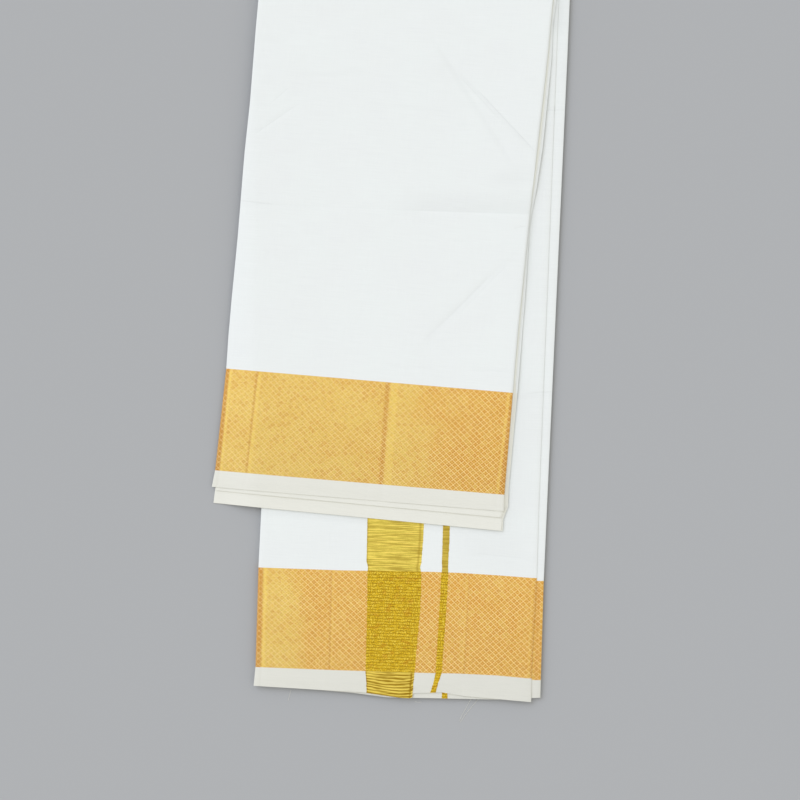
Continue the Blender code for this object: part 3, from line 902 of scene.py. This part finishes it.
def plain_threads(finish, pitch):
    """The raised threads of a plain weave, with thick and thin places in the yarns of both ways."""
    turn = 2 * math.pi / pitch
    cross = (finish.along * turn).sine() * (finish.down * turn).sine()
    slub_along = finish.noise(0.030, pitch * 2.2)
    slub_down = finish.noise(pitch * 2.2, 0.026, seed=5.3)
    return (cross * 0.5 + slub_along + slub_down) * THREAD_RELIEF, slub_along, slub_down


def cotton(name, colour, pitch, presses=(), shades=(), further_in=None):
    """White cotton in plain weave: faint slubs in both threads, a slow unevenness in the white, and painted
    shade at creases. Folded to and fro, it may turn to another white over the plies further in."""
    finish = Finish(name)
    height, slub_along, slub_down = plain_threads(finish, pitch)
    cloud = finish.noise(0.060, 0.045, seed=2.0)
    level = 0.945 + slub_along * 0.050 + slub_down * 0.030 + cloud * 0.030
    if presses:
        depth, mask = finish.pressed(presses)
        height = height - depth
        # The crease lines and the shades beside them are painted shade, taken from the white
        level = level - mask * 0.05 - finish.shaded(shades)
    base = cloud.mix(colour, [part * tint for part, tint in zip(colour, (0.985, 1.0, 0.990))])
    # The inner cotton's painted shade turns to the plain white over the plies further in
    if further_in:
        base = finish.along.over(INNER_FADE_FROM, INNER_FADE_TO).mix(base, further_in)
    return finish.complete(base.scaled(level), height, 0.88, sheen=0.12, glance=0.25)


def selvedge_cotton(name, colour, pitch, white=0.960, fall=0.0):
    """The close band along the selvedge: creamier, with its crowded threads in fine ribs. Its white is
    given at the left edge, and so is how far it falls to the right edge."""
    finish = Finish(name)
    ribs = (finish.down * (2 * math.pi / (pitch * 2.2))).sine()
    height, slub_along, slub_down = plain_threads(finish, pitch)
    # A white set lower than the front's, or falling to the right, paints shade on a copy of this cloth, and a
    # higher one paints light
    falling = white - finish.along * (fall / STRIP_WIDTH)
    level = falling + slub_along * 0.060 + ribs * 0.006 + slub_down * 0.015
    base = finish.noise(0.040, 0.010, seed=7.0).mix(colour, [part * 0.985 for part in colour])
    height = height + ribs * (THREAD_RELIEF / 2)
    return finish.complete(base.scaled(level), height, 0.86, sheen=0.10, glance=0.25)


# How orange the gold of a border is along it, from 0, yellow, to 1, orange, by share of its length: a
# painted reflection, yellow where the gold shines and orange where it does not
ReflectionWarmth = namedtuple("ReflectionWarmth", "share value")
FRONT_REFLECTION_WARMTH = (
    ReflectionWarmth(0.00, 0.60),
    ReflectionWarmth(0.02, 0.15),
    ReflectionWarmth(0.12, 0.10),
    ReflectionWarmth(0.30, 0.25),
    ReflectionWarmth(0.57, 0.32),
    ReflectionWarmth(0.61, 0.12),
    ReflectionWarmth(0.70, 0.45),
    ReflectionWarmth(0.86, 0.95),
    ReflectionWarmth(0.96, 0.85),
)
BACK_REFLECTION_WARMTH = (
    ReflectionWarmth(0.00, 0.70),
    ReflectionWarmth(0.03, 0.05),
    ReflectionWarmth(0.08, 0.00),
    ReflectionWarmth(0.13, 0.30),
    ReflectionWarmth(0.18, 0.80),
    ReflectionWarmth(0.40, 0.80),
    ReflectionWarmth(0.60, 0.85),
    ReflectionWarmth(0.95, 1.00),
)
# How much lighter the border's gold is painted from its selvedge side to its ground side: painted light
RISE_IN_LIGHT = 0.085


def line_masks(finish, lines, length):
    """Where the gold gets painted shade and painted highlight along the creases of a border of some length."""
    dark, bright = 0.0, 0.0
    for line in lines:
        off = finish.along - (finish.down * ((line.far - line.near) / length) + line.near)
        dark_here = off.within(line.dark_from, line.dark_to, LINE_SOFT) * line.strength
        bright_here = off.within(line.bright_from, line.bright_to, LINE_SOFT) * line.strength
        dark = dark_here.most(dark)
        bright = bright_here.most(bright)
    return dark, bright


def gold_lattice(name, colours, cloth, lines, length, reflection_ramp):
    """Gold thread in a satin ground under a thin pale lattice. Each diamond's gold has its own tone, and
    the gold has painted highlights and painted shade at its creases, and a painted reflection."""
    finish = Finish(name)
    wobble = finish.noise(0.014, 0.014, seed=4.0) * 0.12
    across, down = finish.along / cloth.lattice_width + wobble, finish.down / cloth.lattice_height
    rising, falling = across - down, across + down
    thin, wide = 0.020, cloth.lattice_line / cloth.lattice_height
    broken = finish.noise(0.0024, 0.0024, detail=1.0, seed=2.2).over(0.25, 0.55) * 0.4 + 0.6
    lattice = 0.0
    for way, strength in ((falling, 0.90), (rising, 0.78)):
        line = 1 - way.off_line(1.0).over(thin, wide)
        between = 1 - (way + 0.5).off_line(1.0).over(thin, wide * 0.8)
        lattice = (line * strength).most(between * 0.34).most(lattice)
    lattice = lattice * broken
    tone = finish.chance(rising, falling)
    threads = finish.noise(0.0050, 0.00055, detail=1.0, seed=1.5)
    flecks = finish.noise(0.0016, 0.0012, detail=2.0, seed=9.0)
    cloud = finish.noise(0.040, 0.032, seed=3.3)
    patch = finish.noise(0.026, 0.020, seed=6.1)
    # Painted shade and painted highlight along the creases
    dark, bright = line_masks(finish, lines, length)
    share = finish.along / STRIP_WIDTH
    stops = [(row.share, row.value) for row in reflection_ramp]
    # Painted reflection: the gold is yellow where it shines and orange where it does not, varied slowly, and
    # more orange in the painted shade of the creases
    reflection_warmth = finish.node("ShaderNodeValToRGB", None, {0: share}, 0, stops) + (cloud - 0.5) * 0.9 + dark * 0.4
    shine = (1 - reflection_warmth.over(0.1, 0.9)) * 0.75 + bright * 0.5
    ground = reflection_warmth.over(0.0, 1.0).mix(colours.gold_yellow, colours.gold_orange)
    ground = (tone.over(0.55, 1.0) * 0.35).mix(ground, colours.deep_gold_and_shade)
    ground = (tone.over(0.40, 0.0) * 0.35).mix(ground, colours.gold_yellow)
    ground = (flecks.over(0.50, 0.70) * 0.70).mix(ground, colours.gold_yellow)
    ground = (flecks.over(0.48, 0.30) * 0.65).mix(ground, colours.deep_gold_and_shade)
    # Painted highlight, then painted shade, along the creases
    ground = (bright * 0.6).mix(ground, colours.gold_highlight)
    ground = (dark * 0.6).mix(ground, colours.deep_gold_and_shade)
    # Painted light, lighter towards the ground side, and painted shade at the creases
    lit = finish.down * (RISE_IN_LIGHT / length) - RISE_IN_LIGHT / 2
    ground = ground.scaled(0.70 + lit + threads * 0.30 - dark * 0.10)
    # The lattice shows less where the painted reflection shines, and less in the painted shade
    shown = (1.05 - shine * 0.40 + (patch - 0.5) * 0.6 - dark * 0.25).most(0.35).least(1.1)
    colour = (lattice * shown).mix(ground, colours.lattice_thread)
    height = (threads * 0.8 + lattice * 1.0 + flecks * 0.5) * 0.00006
    rough = 0.48 + lattice * 0.22 + flecks * 0.08
    return finish.complete(colour, height, rough, metallic=0.18, glance=0.3)


def gold_stripe(name, colours, cloth, width, brocade_from):
    """Gold thread laid across the stripe: finely streaked over the plain cloth, in knotted brocade rows
    where the stripe crosses the border, and in bold curved picks over the selvedge."""
    finish = Finish(name)
    row = cloth.brocade_row
    ends = BACK_SELVEDGE + BACK_BORDER
    inside = finish.down.within(brocade_from, ends, 0.0004)
    share = finish.along / width
    edge = 1 - share.off_line(1.0).over(0.0, 0.0022 / width)
    flecks = finish.noise(0.0013, 0.0009, detail=1.0, seed=1.1)
    fine = finish.noise(0.0300, 0.0010, detail=1.0, seed=4.4)
    short = finish.noise(0.0080, 0.0013, detail=1.0, seed=8.1)
    broad = finish.noise(0.0600, 0.0040, detail=1.0, seed=2.6)
    streak = fine * 0.75 + short * 0.20 + broad * 0.25 + (flecks - 0.5) * 0.12
    plain = streak.over(0.40, 0.80).mix(colours.stripe_shade, colours.stripe_light)
    # The brightest streaks turn to the highlight gold: painted glints
    plain = (streak.over(0.66, 0.76) * 0.7).mix(plain, colours.gold_highlight)
    plain = (edge * 0.45).mix(plain, colours.brocade_dark)
    bent = finish.down + share * (1 - share) * 0.0044 + finish.noise(0.030, 0.004, seed=3.7) * 0.0026
    pick = bent.off_line(cloth.pick_row) / (cloth.pick_row / 2)
    bold = (pick * 0.55 + fine * 0.80 + short * 0.2 - edge * 0.3).over(0.50, 1.10)
    end_part = bold.mix(colours.brocade_dark, colours.pick_light)
    plain = finish.down.over(BACK_SELVEDGE, BACK_SELVEDGE - 0.0010).mix(plain, end_part)
    down = finish.down + (finish.noise(0.012, 0.006, seed=6.0) - 0.5) * 0.0020
    crest = 1 - down.off_line(row) / (row / 2)
    shift = ((down / row + 0.5).whole() * 0.5).fraction()
    slide = finish.noise(0.02, 0.004, seed=1.9) * 0.010
    dash = ((finish.along + slide) / (row * 4.4) + shift).off_line(1.0) * 2
    beads = 1 - (finish.along + slide + shift * row * 0.86).off_line(row * 0.86) / (row * 0.43)
    worn = finish.noise(0.0050, 0.0030, detail=1.0, seed=5.2).over(0.30, 0.65)
    blotch = finish.noise(0.012, 0.007, detail=1.0, seed=7.7)
    gap = crest.over(0.55, 0.15) * dash.over(0.52, 0.70)
    tops = crest.over(0.10, 0.80) * beads.over(0.25, 0.75) * (0.30 + worn * 0.70)
    knots = 0.50 + tops * 0.55 - gap * 0.50 + (blotch - 0.5) * 0.40 + (flecks - 0.5) * 1.6
    brocade = knots.over(0.0, 1.0).mix(colours.brocade_dark, colours.brocade_light)
    brocade = (tops * worn * 0.55).mix(brocade, colours.stripe_light)
    brocade = (blotch.over(0.40, 0.28) * 0.18).mix(brocade, colours.deep_gold_and_shade)
    colour = inside.mix(plain, brocade)
    raised = inside * (tops - gap) * 0.25 + (1 - inside) * (streak * 0.8 + pick * 0.3)
    height = (raised + flecks * 0.3) * 0.00014
    return finish.complete(colour, height, 0.46, metallic=0.40, glance=0.15)


def loose_cotton(name, colour):
    """The single yarns that have come away at the loose end."""
    finish = Finish(name)
    place = finish.node("ShaderNodeTexCoord", None, None, "Object")
    twist = finish.node("ShaderNodeTexNoise", None, {"Vector": place, "Scale": 900.0}, "Fac")
    return finish.complete(twist.mix([part * 0.8 for part in colour], colour), twist * 0.00004, 0.85)


def front_looks(scene):
    """The materials of the outermost ply, by the name of the weave."""
    colours, cloth = scene.dhoti_colours, scene.dhoti_cloth
    return {
        "cotton": cotton(
            "white cotton, front", colours.cotton, cloth.thread_pitch, FRONT_PRESSES, FRONT_SHADES
        ),
        "selvedge": selvedge_cotton("selvedge cotton", colours.selvedge, cloth.thread_pitch),
        "lattice": gold_lattice(
            "gold lattice, front", colours, cloth, FRONT_LINES, FRONT_BORDER, FRONT_REFLECTION_WARMTH
        ),
    }


def back_looks(scene):
    """The materials of the back half's plies, by the name of the weave."""
    colours, cloth = scene.dhoti_colours, scene.dhoti_cloth
    return {
        "cotton": cotton(
            "white cotton, back", colours.cotton, cloth.thread_pitch, BACK_PRESSES, BACK_SHADES
        ),
        # A darker copy of the selvedge cream that grows darker to the right: painted shade on the back's loose
        # end
        "selvedge": selvedge_cotton(
            "selvedge cotton, back", colours.selvedge, cloth.thread_pitch, 0.920, 0.035
        ),
        "lattice": gold_lattice("gold lattice, back", colours, cloth, BACK_LINES, BACK_BORDER, BACK_REFLECTION_WARMTH),
    }


def size_property(name, description, default):
    """A size that a user may change, in metres."""
    return FloatProperty(name=name, description=description, default=default, unit="LENGTH")


def colour_property(name, description, default):
    """A colour that a user may change."""
    return FloatVectorProperty(name=name, description=description, default=default, subtype="COLOR")


class DhotiCloth(bpy.types.PropertyGroup):
    """Sizes of the cloth and of its weave."""

    thickness: size_property("Thickness", "Thickness of one ply", 0.00024)
    yarn: size_property("Yarn", "Thickness of a loose yarn", 0.00036)
    thread_pitch: size_property("Thread pitch", "From one cotton thread to the next", 0.00038)
    lattice_width: size_property("Lattice width", "Width of one diamond", 0.0065)
    lattice_height: size_property("Lattice height", "Height of one diamond", 0.0058)
    lattice_line: size_property("Lattice line", "Width of a lattice line", 0.0008)
    brocade_row: size_property("Brocade row", "From one brocade row to the next", 0.0030)
    pick_row: size_property("Pick row", "From one bold pick to the next", 0.0027)


class DhotiColours(bpy.types.PropertyGroup):
    """Colours of the threads and of the floor, some of them also painted light and shade."""

    cotton: colour_property("Cotton", "White ground", (0.829, 0.855, 0.849))
    # The inner cotton's darker, creamier white is painted shade on the hidden plies' edges that show
    inner: colour_property("Inner cotton", "White between the plies", (0.800, 0.800, 0.725))
    selvedge: colour_property("Selvedge", "Creamier selvedge band", (0.785, 0.785, 0.715))
    # Yellow and orange gold are also the two ends of the border's painted reflection
    gold_yellow: colour_property("Yellow gold", "Gold where it is yellowest", (0.89, 0.620, 0.135))
    gold_orange: colour_property("Orange gold", "Gold where it is warmest", (0.775, 0.355, 0.020))
    # The deep gold is the cells' and flecks' own darker tone, and also the painted shade at the creases
    deep_gold_and_shade: colour_property("Deep gold", "Gold in the cells and folds", (0.70, 0.265, 0.018))
    # The bright gold is a painted highlight, at the border's creases and on the stripe's brightest streaks
    gold_highlight: colour_property("Bright gold", "Gold polished at a crease", (1.0, 0.74, 0.16))
    lattice_thread: colour_property("Lattice thread", "Pale lattice", (0.93, 0.73, 0.34))
    stripe_light: colour_property("Stripe light", "Bright streaks of a stripe", (0.90, 0.74, 0.13))
    stripe_shade: colour_property("Stripe shade", "Dark streaks of a stripe", (0.50, 0.36, 0.05))
    pick_light: colour_property("Pick light", "Bold picks at the selvedge", (0.88, 0.68, 0.12))
    brocade_light: colour_property("Brocade light", "Tops of the brocade", (0.78, 0.520, 0.022))
    brocade_dark: colour_property("Brocade dark", "Between the brocade rows", (0.34, 0.195, 0.007))
    floor: colour_property("Floor", "Plain floor", (0.42, 0.43, 0.44))


class DhotiStage(bpy.types.PropertyGroup):
    """The light and the camera."""

    lens: FloatProperty(name="Lens", description="Focal length in millimetres", default=120.0)
    view_width: size_property("View width", "How much of the floor the picture shows", 0.832)
    key_strength: FloatProperty(name="Key", description="Strength of the key light", default=1.00)
    fill_strength: FloatProperty(name="Fill", description="Strength of the light all round", default=0.82)


def face_shares(lines, step):
    """The shares across a face, finer near each crease that runs with the strip."""
    marks = [place / STRIP_WIDTH for line in lines for place in {line.near, line.far}]
    return tuple(graded(0.0, 1.0, marks, step / STRIP_WIDTH, FINE_STEP / STRIP_WIDTH))


def outer_stations(lines, step):
    """The points across the outermost ply: a flap under its left edge, its face, and its lining."""
    runs = (
        Run(LINING_DEPTH, FLAP_SHARES),
        Run(FACE_DEPTH, face_shares(lines, step)[::-1]),
        Run(LINING_DEPTH, LINING_SHARES),
    )
    return stations(runs, 1, STRIP_WIDTH)


def past_fold():
    """The rows of a folded ply from the fold on: round it, and then along the under side to its end."""
    nose = np.linspace(0.0, NOSE_ARC, NOSE_STEPS + 1)[1:]
    under = even(NOSE_ARC, UNDER_ENDS, PLAIN_STEP, (UNDER_BORDER_STARTS, UNDER_BORDER_ENDS))[1:]
    return np.concatenate((nose, under))


class DHOTI_OT_outer_ply(bpy.types.Operator):
    """Lays the outermost ply, from the front selvedge round the fold to the under selvedge"""

    bl_idname = "dhoti.outer_ply"
    bl_label = "Outer Ply"

    def execute(self, context):
        creased = outer_stations(FRONT_LINES, FACE_STEP)
        acrosses = {"cotton": outer_stations((), PLAIN_FACE_STEP), "lattice": creased, "selvedge": creased}
        band = graded(-FRONT_LENGTH, -FRONT_BORDER_STARTS, (-FRONT_BORDER_ENDS,))
        ground = even(-FRONT_BORDER_STARTS, 0.0, PLAIN_FACE_STEP)[1:]
        path = np.concatenate((band, ground, past_fold()))

        def lay(across, rows):
            return lay_folded(FRONT_TOP, UNDER_OUTER, across, rows, face=1)

        near = (
            Zone("front_selvedge_band", -FRONT_LENGTH, -FRONT_BORDER_ENDS, "selvedge", ["front_selvedge"]),
            Zone("front_gold_border", -FRONT_BORDER_ENDS, -FRONT_BORDER_STARTS, "lattice", ["front_border"]),
        )
        far = (
            Zone("outer_cotton_ground", -FRONT_BORDER_STARTS, UNDER_BORDER_STARTS, "cotton",
                 ["outer_ground"]),
            Zone("under_gold_border", UNDER_BORDER_STARTS, UNDER_BORDER_ENDS, "lattice", ["under_border"]),
            Zone("under_selvedge_band", UNDER_BORDER_ENDS, UNDER_ENDS, "selvedge", ["under_selvedge"]),
        )
        looks = front_looks(context.scene)
        zone_pieces(near, lay, acrosses, path, True, looks)
        zone_pieces(far, lay, acrosses, path, False, looks)
        return {"FINISHED"}


def hidden_stations():
    """The points across the hidden plies, which are one cloth folded to and fro."""
    pitch = PAIR / 2
    runs = []
    for number in range(2 * PAIRS):
        shares = HIDDEN_SHARES if number % 2 else HIDDEN_SHARES[::-1]
        runs.append(Run(HIDDEN_OUTSIDE + pitch * (number + 0.5), shares))
    across = stations(runs, 0, STRIP_WIDTH)
    pair = np.clip(((across.depth - HIDDEN_OUTSIDE) / PAIR).astype(int), 0, PAIRS - 1)
    left = np.array([short.left for short in SHORTS])[pair]
    right = np.array([short.right for short in SHORTS])[pair]
    shorten = np.array([short.end for short in SHORTS])[pair]
    inset = across.inset + left * (1 - across.share) - right * across.share
    return across._replace(inset=inset), shorten


class DHOTI_OT_hidden_plies(bpy.types.Operator):
    """Lays the plies between, folded to and fro, which show as layers along the edges"""

    bl_idname = "dhoti.hidden_plies"
    bl_label = "Hidden Plies"

    def execute(self, context):
        across, shorten = hidden_stations()
        acrosses = {"cotton": across, "lattice": across, "selvedge": across}
        marks = [-row.run for row in FRONT_HIDDEN] + [-FRONT_BORDER_STARTS]
        front = even(-HIDDEN_FRONT_LENGTH, 0.0, HIDDEN_STEP, marks)
        path = np.concatenate((front, past_fold()))

        def lay(across, rows):
            return lay_folded(FRONT_HIDDEN, UNDER_HIDDEN, across, rows, shorten=shorten)

        hidden = ["hidden_layers"]
        # Past the selvedge this band keeps the creamy selvedge look all along the border: painted creamy shade
        # on the plies' edges beside the front border
        near = (Zone("inner_front_band", -HIDDEN_FRONT_LENGTH, -FRONT_BORDER_STARTS, "selvedge", hidden),)
        far = (
            Zone("inner_cotton_ground", -FRONT_BORDER_STARTS, UNDER_BORDER_STARTS, "cotton", hidden),
            Zone("inner_back_border", UNDER_BORDER_STARTS, UNDER_BORDER_ENDS, "lattice", hidden),
            Zone("inner_back_selvedge", UNDER_BORDER_ENDS, UNDER_ENDS, "selvedge", hidden),
        )
        scene = context.scene
        looks = {
            # The inner cotton's darker, creamier white is painted shade where the hidden plies' edges show
            "cotton": cotton(
                "white cotton, inner", scene.dhoti_colours.inner, scene.dhoti_cloth.thread_pitch,
                further_in=scene.dhoti_colours.cotton
            ),
            # Set lighter than the front's selvedge: painted light against the shade under the front ply's end
            "selvedge": selvedge_cotton(
                "selvedge cotton, inner", scene.dhoti_colours.selvedge, scene.dhoti_cloth.thread_pitch, 0.985
            ),
            "lattice": bpy.data.materials["gold lattice, front"],
        }
        zone_pieces(near, lay, acrosses, path, True, looks)
        zone_pieces(far, lay, acrosses, path, False, looks)
        return {"FINISHED"}


def back_stations(lines, step, width):
    """The points across a back ply, with both its edges turned under."""
    runs = (
        Run(LINING_DEPTH, FLAP_SHARES),
        Run(FACE_DEPTH, face_shares(lines, step)[::-1]),
        Run(LINING_DEPTH, tuple(1 - share for share in FLAP_SHARES[::-1])),
    )
    return stations(runs, 1, width)


def back_path():
    """The rows of a back ply: coarse where the front half covers it, and fine beyond."""
    covered = even(GAP, COVERED_ENDS, FACE_STEP * 3, COVERED_MARKS)
    shown = graded(COVERED_ENDS, BACK_LENGTH, (BACK_BORDER_STARTS, BACK_BORDER_ENDS))
    return np.concatenate((covered, shown[1:]))


def back_ply(names, nodes, ply, looks):
    """One ply of the back half in its three zones."""
    width = ply.rows[-1].right - ply.rows[-1].left
    creased = back_stations(BACK_LINES, FACE_STEP, width)
    acrosses = {"cotton": back_stations((), FACE_STEP, width), "lattice": creased, "selvedge": creased}

    def lay(across, path):
        return lay_back(ply, across, path)

    zones = (
        Zone(names[0], GAP, BACK_BORDER_STARTS, "cotton", nodes[0]),
        Zone(names[1], BACK_BORDER_STARTS, BACK_BORDER_ENDS, "lattice", nodes[1]),
        Zone(names[2], BACK_BORDER_ENDS, BACK_LENGTH, "selvedge", nodes[2]),
    )
    zone_pieces(zones, lay, acrosses, back_path(), False, looks)


class DHOTI_OT_back_plies(bpy.types.Operator):
    """Lays the two plies that show on the back half"""

    bl_idname = "dhoti.back_plies"
    bl_label = "Back Plies"

    def execute(self, context):
        looks = back_looks(context.scene)
        second_names = ("second_cotton_ground", "second_gold_border", "second_selvedge_band")
        second_nodes = (["second_ground"], ["second_border"],
                        ["second_selvedge_left", "second_selvedge_right"])
        back_ply(second_names, second_nodes, SECOND_PLY, looks)
        names = ("back_cotton_ground", "back_gold_border", "back_selvedge_band")
        nodes = [[f"back_{zone}_{where}" for where in ("left", "middle", "right")]
                 for zone in ("ground", "border", "selvedge")]
        back_ply(names, nodes, TOP_PLY, looks)
        return {"FINISHED"}


# How unevenly the floats of the brocade and of the plain stripe reach past its edges
BROCADE_RAGGED = 0.0007
STREAK_RAGGED = 0.0004
RAGGED_SIZE = 0.0026

# How far a stripe stands proud of its ply, at its edges and on top of that in its middle, in thicknesses
STRIPE_PROUD = 0.6
STRIPE_CROWN = 0.4


def stripe_piece(name, node, edges, ply, start, look):
    """A gold stripe, laid on its ply's face from start to the loose end. Its edges are given as a table
    and two of its columns."""
    cloth = bpy.context.scene.dhoti_cloth
    path = graded(start, BACK_LENGTH, (BACK_BORDER_STARTS, BACK_BORDER_ENDS), STRIPE_STEP)
    rows, *fields = edges
    low, high = (read(rows, field, path) for field in fields)
    in_border = (path > BACK_BORDER_STARTS) & (path < BACK_BORDER_ENDS)
    ragged = np.where(in_border, BROCADE_RAGGED, STREAK_RAGGED)
    low = low + ragged * roll(path, path * 0 + 1.7, RAGGED_SIZE, 2.0)
    high = high + ragged * roll(path, path * 0 + 5.1, RAGGED_SIZE, 4.0)
    wide = float(np.mean(high - low))
    shares = np.linspace(0.0, 1.0, max(4, round(wide / FACE_STEP)) + 1)
    points = np.empty((len(path), len(shares), 3))
    for number, run in enumerate(path):
        left, right = read(ply.rows, "left", run), read(ply.rows, "right", run)
        reach = low[number] + (high[number] - low[number]) * shares
        line = Stations((reach - left) / (right - left), np.zeros_like(shares),
                        np.full_like(shares, FACE_DEPTH), reach - left, np.ones_like(shares))
        points[number] = lay_back(ply, line, np.array([run]))[0]
    points[:, :, 2] += cloth.thickness * (STRIPE_PROUD + STRIPE_CROWN * np.sin(math.pi * shares))
    piece = woven_sheet(name, points, shares * wide, BACK_LENGTH - path)
    thicken(piece, cloth.thickness)
    piece.data.materials.append(look)
    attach(piece, "root")
    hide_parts(node)
    return piece, wide


class DHOTI_OT_gold_stripes(bpy.types.Operator):
    """Lays the gold stripes near the cloth's end"""

    bl_idname = "dhoti.gold_stripes"
    bl_label = "Gold Stripes"

    def execute(self, context):
        scene = context.scene
        colours, cloth = scene.dhoti_colours, scene.dhoti_cloth
        wide_width = STRIPES[-1].wide_right - STRIPES[0].wide_left
        narrow_width = STRIPES[-1].narrow_right - STRIPES[0].narrow_left
        wide_look = gold_stripe("wide gold stripe", colours, cloth, wide_width, BACK_SELVEDGE)
        narrow_look = gold_stripe("narrow gold stripe", colours, cloth, narrow_width, 0.0)

        wide, width = stripe_piece("wide_gold_stripe", "wide_stripe", WIDE_EDGES, TOP_PLY, GAP, wide_look)
        narrow = stripe_piece("narrow_gold_stripe", "narrow_stripe", NARROW_EDGES, TOP_PLY, GAP,
                              narrow_look)[0]
        second = stripe_piece("second_gold_stripe", "second_stripe", SECOND_EDGES, SECOND_PLY,
                              BACK_BORDER_ENDS, narrow_look)[0]
        return {"FINISHED"}


# Yarns that have come away at the loose end, as points from the middle of the fold, on the floor
LOOSE_YARNS = (
    ((0.0759, -0.7400), (0.0700, -0.7480), (0.0620, -0.7560), (0.0555, -0.7665)),
    ((0.0680, -0.7400), (0.0640, -0.7470), (0.0590, -0.7560), (0.0545, -0.7650)),
    ((-0.1206, -0.7330), (-0.1222, -0.7380), (-0.1235, -0.7440)),
    ((-0.0540, -0.7345), (-0.0510, -0.7358), (-0.0480, -0.7352)),
    ((0.0080, -0.7450), (0.0110, -0.7462), (0.0150, -0.7455)),
)

# How high the middle of a yarn lies over the floor, in thicknesses of the yarn
YARN_LIES_AT = 0.6


class DHOTI_OT_loose_yarns(bpy.types.Operator):
    """Adds the few yarns that have come away at the loose end"""

    bl_idname = "dhoti.loose_yarns"
    bl_label = "Loose Yarns"

    def execute(self, context):
        scene = context.scene
        thickness = scene.dhoti_cloth.yarn
        made = []
        for points in LOOSE_YARNS:
            deselect()
            bpy.ops.curve.primitive_nurbs_path_add(location=(0, 0, 0))
            yarn = context.object
            spline = yarn.data.splines[0]
            yarn.data.splines.remove(spline)
            spline = yarn.data.splines.new("NURBS")
            spline.points.add(len(points) - 1)
            spline.order_u = min(4, len(points))
            spline.use_endpoint_u = True
            for spot, (x, y) in zip(spline.points, points):
                spot.co = (FOLD_MIDDLE.x + x, FOLD_MIDDLE.y + y, thickness * YARN_LIES_AT, 1.0)
            yarn.data.bevel_depth = thickness / 2
            yarn.data.bevel_resolution = 1
            yarn.data.use_fill_caps = True
            bpy.ops.object.convert(target="MESH")
            made.append(context.object)
        deselect()
        for yarn in made:
            yarn.select_set(True)
        context.view_layer.objects.active = made[0]
        bpy.ops.object.join()
        piece = context.object
        piece.name = piece.data.name = "loose_yarns"
        bpy.ops.object.transform_apply(location=True, rotation=True, scale=True)
        bpy.ops.object.shade_smooth()
        piece.data.materials.clear()
        piece.data.materials.append(loose_cotton("loose cotton", list(scene.dhoti_colours.selvedge)))
        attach(piece, "root")
        return {"FINISHED"}


class DHOTI_OT_stage(bpy.types.Operator):
    """Sets the floor, the light and the camera that looks straight down"""

    bl_idname = "dhoti.stage"
    bl_label = "Stage"

    def execute(self, context):
        scene = context.scene
        stage, colours = scene.dhoti_stage, scene.dhoti_colours
        middle = FOLD_MIDDLE + PICTURE_MIDDLE
        deselect()
        bpy.ops.mesh.primitive_plane_add(size=FLOOR_SIZE, location=(0, 0, 0))
        floor = context.object
        floor.name = "floor"
        look = bpy.data.materials.new("plain floor")
        look.use_nodes = True
        shader = look.node_tree.nodes["Principled BSDF"]
        shader.inputs["Base Color"].default_value = (*colours.floor, 1.0)
        shader.inputs["Roughness"].default_value = 0.95
        shader.inputs["Specular IOR Level"].default_value = 0.1
        floor.data.materials.append(look)
        bpy.ops.object.light_add(type="SUN", location=middle + KEY_PLACE)
        key = context.object
        key.name = "key light"
        key.data.angle = KEY_ANGLE
        key.data.energy = stage.key_strength
        key.data.color = KEY_TINT
        key.rotation_euler = (-KEY_PLACE).to_track_quat("-Z", "Y").to_euler()
        world = bpy.data.worlds.new("soft light all round")
        world.use_nodes = True
        background = world.node_tree.nodes["Background"]
        background.inputs["Color"].default_value = (*FILL_TINT, 1.0)
        background.inputs["Strength"].default_value = stage.fill_strength
        scene.world = world
        half_angle = math.atan(SENSOR_WIDTH / 2 / stage.lens)
        height = stage.view_width / 2 / math.tan(half_angle)
        bpy.ops.object.camera_add(location=middle + Vector((0, 0, height)), rotation=(0, 0, 0))
        camera = context.object
        camera.name = "camera from above"
        camera.data.lens = stage.lens
        camera.data.sensor_width = SENSOR_WIDTH
        camera.data.clip_end = SEEN_TO
        scene.camera = camera
        scene.view_settings.view_transform = "Standard"
        return {"FINISHED"}


class DHOTI_PT_panel(bpy.types.Panel):
    """Lists the sizes, the colours and the steps"""

    bl_label = "Folded Dhoti"
    bl_idname = "DHOTI_PT_panel"
    bl_space_type = "VIEW_3D"
    bl_region_type = "UI"
    bl_category = "Dhoti"

    def draw(self, context):
        layout = self.layout
        for group in (context.scene.dhoti_cloth, context.scene.dhoti_colours, context.scene.dhoti_stage):
            box = layout.box()
            for name in group.__annotations__:
                box.prop(group, name)
        for operator in OPERATORS:
            layout.operator(operator.bl_idname)


OPERATORS = (
    DHOTI_OT_outer_ply,
    DHOTI_OT_hidden_plies,
    DHOTI_OT_back_plies,
    DHOTI_OT_gold_stripes,
    DHOTI_OT_loose_yarns,
    DHOTI_OT_stage,
)
GROUPS = {"dhoti_cloth": DhotiCloth, "dhoti_colours": DhotiColours, "dhoti_stage": DhotiStage}


def register():
    for kind in (*GROUPS.values(), *OPERATORS, DHOTI_PT_panel):
        bpy.utils.register_class(kind)
    for name, kind in GROUPS.items():
        setattr(bpy.types.Scene, name, PointerProperty(type=kind))


def unregister():
    for name in GROUPS:
        delattr(bpy.types.Scene, name)
    for kind in reversed((*GROUPS.values(), *OPERATORS, DHOTI_PT_panel)):
        bpy.utils.unregister_class(kind)


def main():
    register()
    bpy.ops.dhoti.outer_ply()
    bpy.ops.dhoti.hidden_plies()
    bpy.ops.dhoti.back_plies()
    bpy.ops.dhoti.gold_stripes()
    bpy.ops.dhoti.loose_yarns()
    bpy.ops.dhoti.stage()


if __name__ == "__main__":
    main()
